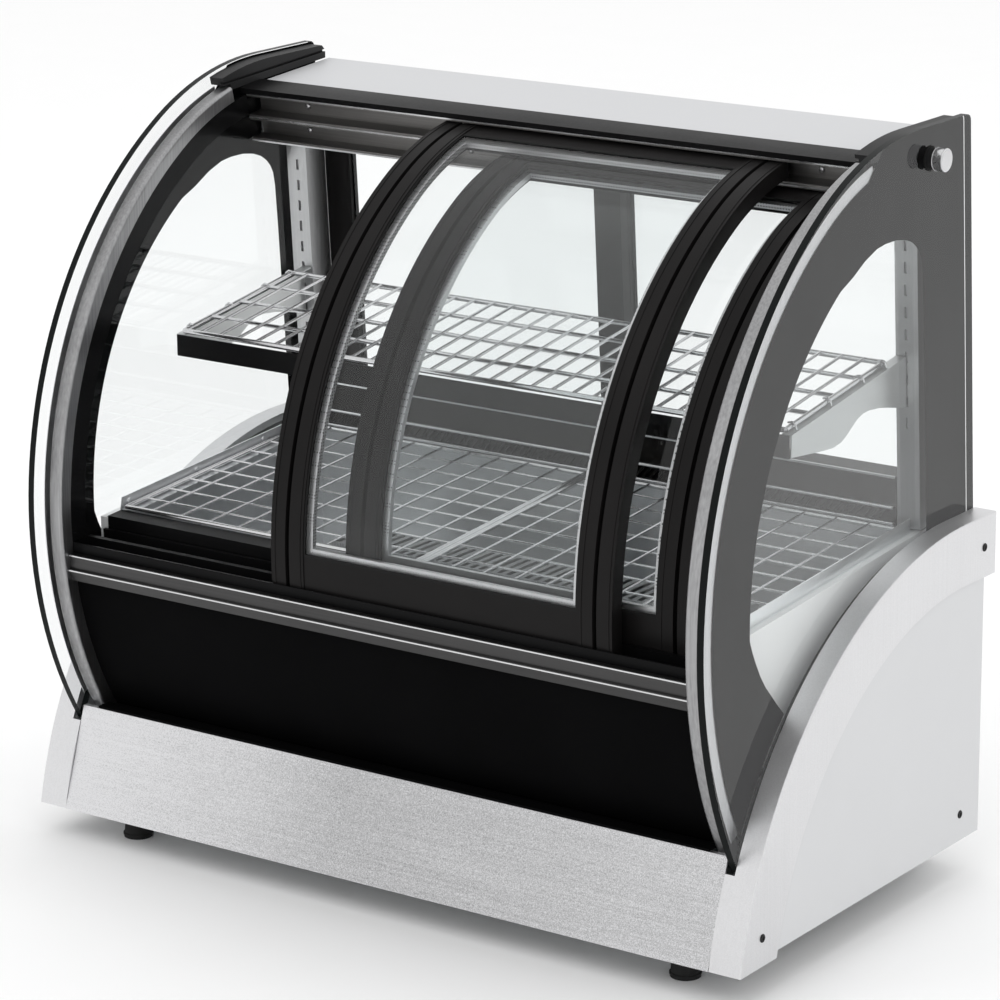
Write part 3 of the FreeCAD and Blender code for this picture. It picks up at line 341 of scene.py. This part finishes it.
MATERIAL_NODES = (
    (SATIN_SILVER, "kick_panel"),
    (SATIN_SILVER_SIDE, "arch_trim_left arch_trim_right"),
    (GREY_SHEET, "side_panels"),
    (SHADED_GREY_ROOF, "top_panel"),
    (GALVANISED, "base_pan rear_cover"),
    (RUBBER, "rubber_feet"),
    (PLASTIC,
     "side_screws glass_caps stud_collars fan_motor fan_shroud condenser_fan control_box "
     "rear_fittings"),
    (BLACK_PANEL, "front_lower_panel"),
    (BLACK_SHEET, "top_front_trim lower_door_track shelf_front_bar"),
    (JAMB_BLACK, "door_jamb_left door_jamb_right"),
    (BLACK_DUCT, "rear_air_duct air_grille"),
    (TRACK_METAL, "upper_door_track"),
    (SILL_METAL, "sill_rail"),
    (BOW_METAL, "side_bow_left side_bow_right"),
    (POST_METAL, "rear_post_left rear_post_right rear_lower_track rear_upper_track"),
    (SPACER, "outer_door_spacer inner_door_spacer"),
    (SHELF_METAL, "shelf_brackets"),
    (STILE_BLACK,
     "outer_door_stiles inner_door_stiles outer_door_rails inner_door_rails rear_door_frame_left "
     "rear_door_frame_right"),
    (SWITCH, "power_switch"),
    (CHROME, "stud_caps deck_rack_left deck_rack_right wire_shelf"),
    (SIDE_PANE, "side_glass_left side_glass_right"),
    (CLEAR_PANE, "inner_panes rear_door_glass_left rear_door_glass_right"),
    (DOOR_PANE, "outer_door_glass inner_door_glass"),
    (WHITE_CASE, "insulated_casing ceiling_liner"),
    (LINER, "tub_liner"),
    (LENS, "lamp_lens"),
    (COMPRESSOR, "compressor"),
    (FINS, "condenser_coil evaporator_coil"),
)

for material, node_names in MATERIAL_NODES:
    for node_name in node_names.split():
        slots = NODES[node_name].data.materials
        slots.clear()
        slots.append(material)

# ---------------------------------------------------------------- mesh pieces


def finish_piece(name, bm, material, body, bevel=0.0, smooth=40):
    """Turns a bmesh in millimetres into a piece that rides on a body."""
    bmesh.ops.remove_doubles(bm, verts=bm.verts, dist=1e-4)
    bmesh.ops.recalc_face_normals(bm, faces=bm.faces)
    bmesh.ops.scale(bm, vec=(MM, MM, MM), verts=bm.verts)
    mesh = bpy.data.meshes.new(name)
    bm.to_mesh(mesh)
    bm.free()
    for polygon in mesh.polygons:
        polygon.use_smooth = True
    mesh.set_sharp_from_angle(angle=math.radians(smooth))
    piece = bpy.data.objects.new(name, mesh)
    bpy.context.scene.collection.objects.link(piece)
    mesh.materials.append(material)
    if bevel:
        edge = piece.modifiers.new("bevel", "BEVEL")
        edge.width = bevel * MM
        edge.segments = 2
        edge.limit_method = "ANGLE"
        edge.angle_limit = math.radians(35)
        edge.harden_normals = True
    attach(piece, body)
    return piece


def add_loft(bm, rings, closed_ring=True, caps=True):
    """Skins a row of rings that hold the same number of points each."""
    made = [[bm.verts.new(point) for point in ring] for ring in rings]
    count = len(made[0])
    spans = count if closed_ring else count - 1
    for first, second in zip(made, made[1:]):
        for index in range(spans):
            following = (index + 1) % count
            bm.faces.new((first[index], first[following], second[following], second[index]))
    if caps and closed_ring:
        bm.faces.new(list(reversed(made[0])))
        bm.faces.new(made[-1])


def add_curved_bar(bm, outer, inner, low, high, x0, x1, steps=48):
    """A bar that follows the front curve between two offsets, two angles and two X positions."""
    rings = []
    for index in range(steps + 1):
        angle = low + (high - low) * index / steps
        a = on_glass(outer, angle)
        b = on_glass(inner, angle)
        rings.append([(x0, *a), (x1, *a), (x1, *b), (x0, *b)])
    add_loft(bm, rings)


def add_prism(bm, outline, x0, x1):
    """An outline of (y, z) points drawn out along X."""
    rings = [[(x, y, z) for y, z in outline] for x in (x0, x1)]
    add_loft(bm, rings)


def add_turned(bm, origin, axis, profile, segments=32):
    """A turned shape: (radius, height) pairs round an axis."""
    direction = Vector(axis).normalized()
    across = direction.orthogonal().normalized()
    up = direction.cross(across)
    rings = []
    for radius, height in profile:
        ring = []
        for index in range(segments):
            turn = 2 * math.pi * index / segments
            ring.append(Vector(origin) + direction * height
                        + (across * math.cos(turn) + up * math.sin(turn)) * max(radius, 0.01))
        rings.append(ring)
    add_loft(bm, rings)


def smooth_path(points, per_span=8):
    """Catmull-Rom points through a route."""
    route = [Vector(point) for point in points]
    route = [route[0] * 2 - route[1]] + route + [route[-1] * 2 - route[-2]]
    path = []
    for a, b, c, d in zip(route, route[1:], route[2:], route[3:]):
        for index in range(per_span):
            t = index / per_span
            path.append(0.5 * ((2 * b) + (c - a) * t + (2 * a - 5 * b + 4 * c - d) * t * t
                               + (3 * b - a - 3 * c + d) * t ** 3))
    path.append(route[-2])
    return path


def add_tube(bm, path, radius, segments=12):
    """A round tube along a path, its rings carried along without twist."""
    points = [Vector(point) for point in path]
    tangent = (points[1] - points[0]).normalized()
    across = tangent.orthogonal().normalized()
    rings = []
    for index, point in enumerate(points):
        ahead = points[min(index + 1, len(points) - 1)]
        behind = points[max(index - 1, 0)]
        following = (ahead - behind).normalized()
        across = tangent.rotation_difference(following) @ across
        tangent = following
        up = tangent.cross(across)
        ring = []
        for step in range(segments):
            turn = 2 * math.pi * step / segments
            ring.append(point + (across * math.cos(turn) + up * math.sin(turn)) * radius)
        rings.append(ring)
    add_loft(bm, rings)


SIDES = (("left", -1), ("right", 1))

# ---- painted border behind each side glass


def circle_run(centre, radius, first, last, steps):
    """(y, z) points on a circle, between two angles above the direction that faces the front."""
    turns = [math.radians(first + (last - first) * index / steps) for index in range(steps + 1)]
    return [(centre[0] - radius * math.cos(turn), centre[1] + radius * math.sin(turn)) for turn in turns]


def border_outline():
    """The paint: up the front, over the top and down the rear, open at the foot where the arch covers it."""
    seat = 441.5
    points = glass_run(28.5, -28.6, 73.5, 72)
    points += glass_run(0.8, 80.5, 89.9, 10)
    points += [(232, 822.1), (235.7, 821.2), (238.3, 818.6), (239.2, 814.9), (265.2, 384.4)]
    points += circle_run(ARCH_CENTRE, seat, 98.2, 87.3, 8)
    points += [(171, 527), (165, 617), (161, 668), (158, 683), (153, 692), (146, 699), (137, 705), (123, 710),
               (104, 713), (83, 713), (66, 711), (43, 703), (18, 690)]
    points += circle_run(LOW_CENTRE, 371, 56.5, -1.7, 36)
    points += [(-165, 347), (-159, 335), (-150, 319), (-140, 305), (-129, 293), (-118, 281)]
    points += circle_run(ARCH_CENTRE, seat, 46.4, 29.2, 10)
    return points


def make_border(name, side):
    """The paint as one thin skin on the inner face of the glass."""
    bm = bmesh.new()
    face = bm.faces.new([bm.verts.new((0, y, z)) for y, z in border_outline()])
    skin = bmesh.ops.extrude_face_region(bm, geom=[face])
    moved = [item for item in skin["geom"] if isinstance(item, bmesh.types.BMVert)]
    bmesh.ops.translate(bm, verts=moved, vec=(-0.2 * side, 0, 0))
    bmesh.ops.translate(bm, verts=bm.verts, vec=(422.2 * side, 0, 0))
    bmesh.ops.triangulate(bm, faces=[item for item in bm.faces if len(item.verts) > 4])
    finish_piece(f"painted_border_{name}", bm, FRIT, "case")


for side_name, side_sign in SIDES:
    make_border(side_name, side_sign)


def make_bow_flanges():
    """Bright flange that closes the gap between each bow and its glass."""
    bm = bmesh.new()
    for side in (-1, 1):
        x0, x1 = sorted((420.4 * side, 421.2 * side))
        add_curved_bar(bm, 15.2, 31.6, -28.0, 75.5, x0, x1, steps=72)
    finish_piece("bow_flanges", bm, BOW_BRIGHT, "case")


make_bow_flanges()

# ---- painted highlights along the edges of the sill rail and the upper track, and the track's screws


def make_edge_highlights():
    """Bright strips along the sill rail's two steps and the three ribs of the upper track: painted highlights
    on their edges.
    """
    bm = bmesh.new()
    # Painted highlights: thin bright metal strips where the rails' edges catch the light.
    section = ((-1.5, -1.1), (-1.1, 0.1), (-0.2, 0.5), (0.5, 0.3), (0.2, -1.1))
    for offset, angle in ((24.7, -5.14), (21.1, -7.2)):
        y, z = on_glass(offset, angle)
        add_prism(bm, [(y + across, z + up) for across, up in section], -397.6, 397.6)
    finish_piece("sill_painted_highlights", bm, LIP_METAL, "case")
    bm = bmesh.new()
    for offset in (31.4, 58.5, 85.2):
        add_curved_bar(bm, offset - 0.9, offset + 0.9, 79.75, 80.08, -397, 397, steps=2)
    finish_piece("header_painted_highlights", bm, LIP_METAL, "case")


def make_track_screws():
    """Small domed screws in the upper track's two lanes, facing the front."""
    bm = bmesh.new()
    head = [(3.4, -0.2), (3.4, 0.6), (3.0, 1.3), (2.0, 1.8), (0.9, 1.9), (0.7, 1.2), (0.0, 1.2)]
    track_angle = 84.3
    for offset in (45.5, 73.0):
        y, z = on_glass(offset, track_angle)
        radial = Vector((0, *on_glass(offset + 5, track_angle))) - Vector((0, y, z))
        along = Vector((0, -radial.z, radial.y)).normalized()
        if along.y > 0:
            along = -along
        for x in (-330, -110, 110, 332):
            add_turned(bm, (x, y, z), along, head, 20)
    finish_piece("track_screws", bm, SCREW, "case")


def make_duct_trim():
    """Bright lip along the duct's top, a rod above and below the grille, and a dark plate behind it: painted
    shade where the inside of the duct lies in shade.
    """
    bm = bmesh.new()
    lip = [leaned(y, z) for y, z in ((-79.2, 50.6), (-77.8, 50.6), (-77.8, 53.2), (-79.2, 53.2))]
    add_prism(bm, lip, -380.5, 380.5)
    finish_piece("duct_lip", bm, LIP_METAL, "case")
    bm = bmesh.new()
    for y, z in ((-80.3, 18.6), (-80.3, 0.6)):
        middle = leaned(y, z)
        add_tube(bm, [(-379, *middle), (379, *middle)], 1.9, 16)
    finish_piece("grille_rods", bm, LIP_METAL, "case")
    # Painted shade: a near-black plate behind the grille, in place of the shaded inside of the duct.
    bm = bmesh.new()
    plate = [leaned(y, z) for y, z in ((-75.2, -1.5), (-74.4, -1.5), (-74.4, 19.0), (-75.2, 19.0))]
    add_prism(bm, plate, -380, 380)
    finish_piece("grille_shade_plate", bm, BLACK_PANEL, "case")


make_edge_highlights()
make_track_screws()
make_duct_trim()

# ---- glazing beads on the curved doors


DOOR_WIDTH = 427
STILE = 42


def make_door_trim(prefix, body, lane, left):
    """Rubber beads round both panes of a curved door, and two fine ribs along each of its stiles."""
    right = left + DOOR_WIDTH
    glass_left = left + STILE
    glass_right = right - STILE
    bm = bmesh.new()
    for front, back in ((lane + 0.9, lane + 2.0), (lane + 16.95, lane + 17.9)):
        for x0, x1 in ((glass_left - 0.3, glass_left + 2.2), (glass_right - 2.2, glass_right + 0.3)):
            add_curved_bar(bm, front, back, 1.0, 75.7, x0, x1, steps=56)
        add_curved_bar(bm, front, back, 0.9, 1.35, glass_left, glass_right, steps=2)
        add_curved_bar(bm, front, back, 75.25, 75.8, glass_left, glass_right, steps=2)
    finish_piece(f"{prefix}_door_beads", bm, GASKET, body)
    bm = bmesh.new()
    for start in (left, right - STILE):
        middle = start + STILE / 2
        for x0, x1 in ((middle - 17.5, middle - 15.5), (middle + 15.5, middle + 17.5)):
            add_curved_bar(bm, lane - 0.55, lane + 0.2, -4.2, 81.0, x0, x1, steps=64)
    finish_piece(f"{prefix}_door_ribs", bm, STILE_BLACK, body)


make_door_trim("outer", "outer_door", 36, -126.5)
make_door_trim("inner", "inner_door", 63, -49)

# ---------------------------------------------------------------- deck edges, screws, studs and feet


def deck_z(y):
    """Height of the deck's ledge at a given depth."""
    return 357.5 + (y + 175) * math.tan(math.radians(4))


def make_deck_edges():
    """Black strip over the front ledge, and a bright riveted flange along each side of the deck."""
    bm = bmesh.new()
    low = deck_z(-175) + 1.7
    high = deck_z(-153) + 1.7
    riser = [(-176.4, low + 1), (-176.4, 342), (-175.3, 342), (-175.3, low)]
    strip = riser + [(-153.5, high), (-153.5, high + 1)]
    add_prism(bm, strip, -397.5, 397.5)
    rivet = [(3.0, 0), (2.6, 0.9), (1.4, 1.4), (0, 1.5)]
    finish_piece("deck_front_strip", bm, BLACK_SHEET, "case")
    for name, side in SIDES:
        bm = bmesh.new()
        corners = ((-152, 1.6), (183, 1.6), (183, 15), (-149, 15))
        outline = [(y, deck_z(y) + above) for y, above in corners]
        x0, x1 = sorted((399.3 * side, 400.6 * side))
        add_prism(bm, outline, x0, x1)
        for y in (-138, -20, 100, 172):
            add_turned(bm, (399.4 * side, y, deck_z(y) + 8.6), (-side, 0, 0), rivet, 20)
        finish_piece(f"deck_flange_{name}", bm, LINER, "case")


def make_side_screw_heads():
    """Button heads with a round recess, in place of the plain discs."""
    bm = bmesh.new()
    dome = [(4.5, 0.02), (4.5, 0.35), (4.2, 0.85), (3.4, 1.15), (2.3, 1.25)]
    head = dome + [(2.15, 1.15), (2.05, 0.45), (0, 0.42)]
    for side in (-1, 1):
        for y, z, seat in ((244, 360.5, 457.0), (-198, 65.5, 457.0), (207, 71.5, 455.0)):
            add_turned(bm, (seat * side, y, z), (side, 0, 0), head, 36)
    finish_piece("side_screw_heads", bm, PLASTIC, "case")
    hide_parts("side_screws")


STUD = (155, 789.8)


def make_stud_faces():
    """Ground face ring and rolled edge on each chrome stud, and a washer under its collar."""
    bm = bmesh.new()
    for side in (-1, 1):
        axis = (side, 0, 0)
        for x, wide in ((438.9, 0.7), (448.9, 0.8)):
            ring = [(10.75, 0), (12.25, 0.1), (12.35, wide / 2), (12.25, wide - 0.1), (10.75, wide)]
            add_turned(bm, (x * side, *STUD), axis, ring, 48)
        add_turned(bm, (450.0 * side, *STUD), axis, [(10.3, 0), (10.1, 0.35), (7.0, 0.55), (0, 0.6)], 48)
    finish_piece("stud_faces", bm, CHROME, "case")
    bm = bmesh.new()
    for side in (-1, 1):
        washer = [(12.9, 0), (13.2, 0.4), (12.8, 1.1), (11.05, 1.2)]
        add_turned(bm, (430.6 * side, *STUD), (side, 0, 0), washer, 48)
    finish_piece("stud_washers", bm, GASKET, "case")


def make_foot_details():
    """Two moulded rings round each rubber foot, and a steel washer on top of it."""
    rings = bmesh.new()
    washers = bmesh.new()
    upwards = (0, 0, 1)
    for x in (-360, 360):
        for y in (-187, 205):
            add_turned(rings, (x, y, 2.0), upwards, [(15.9, 0), (16.7, 0.6), (16.7, 2.6), (15.5, 3.4)], 40)
            add_turned(rings, (x, y, 20.0), upwards, [(13.9, 0), (14.7, 0.7), (14.5, 2.2), (13.5, 2.8)], 40)
            add_turned(washers, (x, y, 40.2), upwards, [(9, 0), (12.6, 0.1), (12.6, 1.2), (9, 1.28)], 40)
    finish_piece("foot_rings", rings, RUBBER, "case")
    finish_piece("foot_washers", washers, SCREW, "case")


# ---------------------------------------------------------------- inside: shelf clips, fan guard and pipes


def make_shelf_clips():
    """Hooks that hold the brackets in the slotted posts, and clips for the shelf's edge rods."""
    bm = bmesh.new()
    slope = math.tan(math.radians(8.5))
    for side in (-1, 1):
        x0, x1 = sorted((394.6 * side, 395.9 * side))
        for z in (525.4, 549.4):
            outline = [(175.5, z - 4.4), (183.4, z - 4.4), (183.4, z + 3.8), (175.5, z + 3.8)]
            add_prism(bm, outline, x0, x1)
        for y in (-38, 30, 95, 140):
            z = 543 + (y + 52) * slope
            add_tube(bm, [(383 * side, y, z + 3.4), (388 * side, y, z + 4.4), (392 * side, y, z + 1.5),
                          (393 * side, y, z - 2.9)], 1.1, 10)
    finish_piece("shelf_clips", bm, CHROME, "case")


def make_fan_guard():
    """Round wire guard over the condenser fan, on the side that faces the louvres."""
    bm = bmesh.new()
    y = 178.6

    def around(radius, degrees, depth):
        """A point round the fan's axis."""
        turn = math.radians(degrees)
        return 150 + radius * math.cos(turn), depth, 125 + radius * math.sin(turn)

    for radius in (30, 42, 54, 66):
        add_tube(bm, [around(radius, step * 9, y) for step in range(41)], 1.0, 8)
    for step in range(6):
        spoke = step * 60 + 15
        add_tube(bm, [around(25, spoke, y + 1.6), around(72, spoke, y + 1.6)], 1.2, 8)
    finish_piece("fan_guard", bm, SCREW, "case")


def make_pipes():
    """Copper pipes between the compressor and the condenser, and the service stub."""
    bm = bmesh.new()
    routes = (
        [(-186, 96, 120), (-165, 98, 122), (-140, 104, 128), (-90, 108, 150), (-20, 110, 168), (30, 118, 170),
         (59.5, 120, 170)],
        [(-190, 70, 90), (-160, 66, 84), (-110, 70, 78), (-40, 84, 74), (20, 112, 76), (59.5, 118, 78)],
        [(-250, 25, 130), (-250, 8, 134), (-250, -12, 140), (-246, -30, 152), (-240, -36, 168)],
    )
    for route, radius in zip(routes, (3.2, 3.2, 2.6)):
        add_tube(bm, smooth_path(route), radius, 14)
    finish_piece("copper_pipes", bm, COPPER, "case")


# ---------------------------------------------------------------- rear: doors, louvres and fittings


def leaned_prism(bm, outline, x0, x1):
    """A prism whose outline is given in the leaning rear frame's own axes."""
    add_prism(bm, [leaned(y, z) for y, z in outline], x0, x1)


def make_rear_door_trim(name, body, front, left):
    """Gasket round the pane on both faces, and a bright lip round the finger pull."""
    low, high = 34.0, 357.0
    glass_left = left + 32
    glass_right = left + 372
    bm = bmesh.new()
    for y0, y1 in ((front + 0.3, front + 3.9), (front + 9.1, front + 13.7)):
        for x0, x1 in ((glass_left, glass_left + 2.4), (glass_right - 2.4, glass_right)):
            leaned_prism(bm, [(y0, low), (y1, low), (y1, high), (y0, high)], x0, x1)
        for z0, z1 in ((low, low + 2.4), (high - 2.4, high)):
            leaned_prism(bm, [(y0, z0), (y1, z0), (y1, z1), (y0, z1)], glass_left + 2.4, glass_right - 2.4)
    finish_piece(f"{name}_gasket", bm, GASKET, body)
    bm = bmesh.new()
    pull = left + 11 if left < -200 else left + 383
    back = front + 14
    proud = back + 1.2
    for x0, x1 in ((pull - 1.4, pull + 0.1), (pull + 9.9, pull + 11.4)):
        leaned_prism(bm, [(back, 189), (proud, 189), (proud, 291), (back, 291)], x0, x1)
    for z0, z1 in ((188.6, 190.1), (289.9, 291.4)):
        leaned_prism(bm, [(back, z0), (proud, z0), (proud, z1), (back, z1)], pull - 1.4, pull + 11.4)
    finish_piece(f"{name}_pull_lip", bm, LIP_METAL, body)


def make_louvres():
    """Pressed hoods over the vent slots, and the screws of the rear cover."""
    bm = bmesh.new()
    back = 246.0
    for index in range(11):
        z = 88.0 + 9.0 * index
        outline = [(back, z + 1.6), (back + 1.2, z + 1.2), (back + 3.4, z - 1.2), (back + 3.4, z - 2.2),
                   (back + 2.7, z - 2.2), (back + 2.6, z - 1.4), (back + 0.9, z + 0.3), (back, z + 0.5)]
        add_prism(bm, outline, 73.5, 226.5)
    finish_piece("louvre_hoods", bm, GALVANISED, "case")
    bm = bmesh.new()
    for x in (-405, -200, 0, 200, 405):
        for z in (72, 200):
            head = [(4.2, 0.02), (4.1, 0.7), (3.2, 1.4), (1.6, 1.7), (1.3, 1.0), (0, 1.0)]
            add_turned(bm, (x, back, z), (0, 1, 0), head, 28)
    finish_piece("rear_screws", bm, SCREW, "case")


def make_controls():
    """Display window, its three keys and digits, the inlet's pins, and the mark on the rocker."""
    bm = bmesh.new()
    add_prism(bm, [(253.6, 132), (254.3, 132), (254.3, 150), (253.6, 150)], -324, -276)
    finish_piece("display_window", bm, DISPLAY, "case", bevel=0.3)
    bm = bmesh.new()
    for x in (-316, -300, -284):
        add_turned(bm, (x, 253.5, 126), (0, 1, 0), [(2.8, 0), (2.8, 0.8), (2.2, 1.2), (0, 1.3)], 24)
    finish_piece("display_keys", bm, GASKET, "case")
    bm = bmesh.new()
    for column, bars in ((-293, "abcdfg"), (-307, "acdfg")):
        places = {"a": (0, 7, 6, 1), "g": (0, 0, 6, 1), "d": (0, -7, 6, 1), "b": (-3.4, 3.5, 1, 5.4),
                  "c": (-3.4, -3.5, 1, 5.4), "f": (3.4, 3.5, 1, 5.4)}
        for bar in bars:
            x, z, wide, tall = places[bar]
            x += column
            low = z * 0.8 + 141 - tall * 0.4
            high = z * 0.8 + 141 + tall * 0.4
            stroke = [(254.2, low), (254.5, low), (254.5, high), (254.2, high)]
            add_prism(bm, stroke, x - wide / 2, x + wide / 2)
    finish_piece("display_digits", bm, DIGITS, "case")
    bm = bmesh.new()
    for x, z in ((347, 89), (341, 81), (353, 81)):
        add_prism(bm, [(249.4, z - 1), (253.8, z - 1), (253.8, z + 1), (249.4, z + 1)], x - 2.4, x + 2.4)
    finish_piece("inlet_pins", bm, SCREW, "case")
    bm = bmesh.new()
    add_prism(bm, [(246.8, 136.4), (247.1, 136.4), (247.75, 141.6), (247.45, 141.6)], -380.7, -379.3)
    finish_piece("switch_mark", bm, MARK, "switch_rocker")


make_deck_edges()
make_side_screw_heads()
make_stud_faces()
make_foot_details()
make_shelf_clips()
make_fan_guard()
make_pipes()
make_rear_door_trim("rear_left", "rear_left_door", -39, -386)
make_rear_door_trim("rear_right", "rear_right_door", -22, -18)
make_louvres()
make_controls()

# ---------------------------------------------------------------- floor, light and camera

FLOOR_PAINT = paint("floor_paint", (0.95, 0.95, 0.95), 0.8, specular=0.1, peel=0.02, wear=0.003)


def make_floor():
    """Wide pale floor, kept out of the object."""
    bm = bmesh.new()
    bmesh.ops.create_grid(bm, x_segments=8, y_segments=8, size=9.0)
    mesh = bpy.data.meshes.new("floor")
    bm.to_mesh(mesh)
    bm.free()
    mesh.materials.append(FLOOR_PAINT)
    floor = bpy.data.objects.new("floor", mesh)
    bpy.context.scene.collection.objects.link(floor)


def add_light(name, place, aim, size, power):
    """Soft round light, aimed at a point and hidden from mirrors."""
    light = bpy.data.lights.new(name, "AREA")
    light.shape = "DISK"
    light.size = size
    light.energy = power
    holder = bpy.data.objects.new(name, light)
    bpy.context.scene.collection.objects.link(holder)
    holder.location = place
    holder.rotation_euler = (Vector(aim) - Vector(place)).to_track_quat("-Z", "Y").to_euler()
    holder.visible_glossy = False


def make_world():
    """Plain white surroundings."""
    world = bpy.data.worlds.new("studio")
    world.use_nodes = True
    world.node_tree.nodes["Background"].inputs["Color"].default_value = (1.0, 1.0, 1.0, 1)
    world.node_tree.nodes["Background"].inputs["Strength"].default_value = 1.0
    bpy.context.scene.world = world


def make_camera():
    """Three-quarter view from the front right."""
    azimuth = math.radians(35.27)
    rise = math.radians(15.94)
    roll = math.radians(0.47)
    level = math.cos(rise)
    forward = Vector((-math.sin(azimuth) * level, math.cos(azimuth) * level, -math.sin(rise)))
    right = Vector((math.cos(azimuth), math.sin(azimuth), 0))
    down = forward.cross(right)
    right_rolled = right * math.cos(roll) + down * math.sin(roll)
    down_rolled = down * math.cos(roll) - right * math.sin(roll)
    data = bpy.data.cameras.new("camera")
    data.sensor_width = 36
    data.lens = 145.85
    data.shift_x = -0.002
    data.shift_y = 0.0056
    data.clip_end = 60
    camera = bpy.data.objects.new("camera", data)
    bpy.context.scene.collection.objects.link(camera)
    rotation = Matrix((right_rolled, -down_rolled, -forward)).transposed()
    camera.matrix_world = Matrix.Translation((2.4106, -3.4011, 1.5829)) @ rotation.to_4x4()
    bpy.context.scene.camera = camera


make_floor()
make_world()
add_light("key", (-2.6, -3.2, 4.2), (0, 0, 0.4), 2.4, 26)
add_light("fill", (4.2, -1.6, 2.4), (0, 0, 0.4), 2.6, 12)
add_light("top", (0.2, 1.2, 4.6), (0, 0, 0.5), 2.2, 26)
make_camera()
scene = bpy.context.scene
scene.view_settings.view_transform = "Standard"
scene.cycles.transparent_max_bounces = 40
scene.cycles.max_bounces = 16
scene.cycles.glossy_bounces = 8
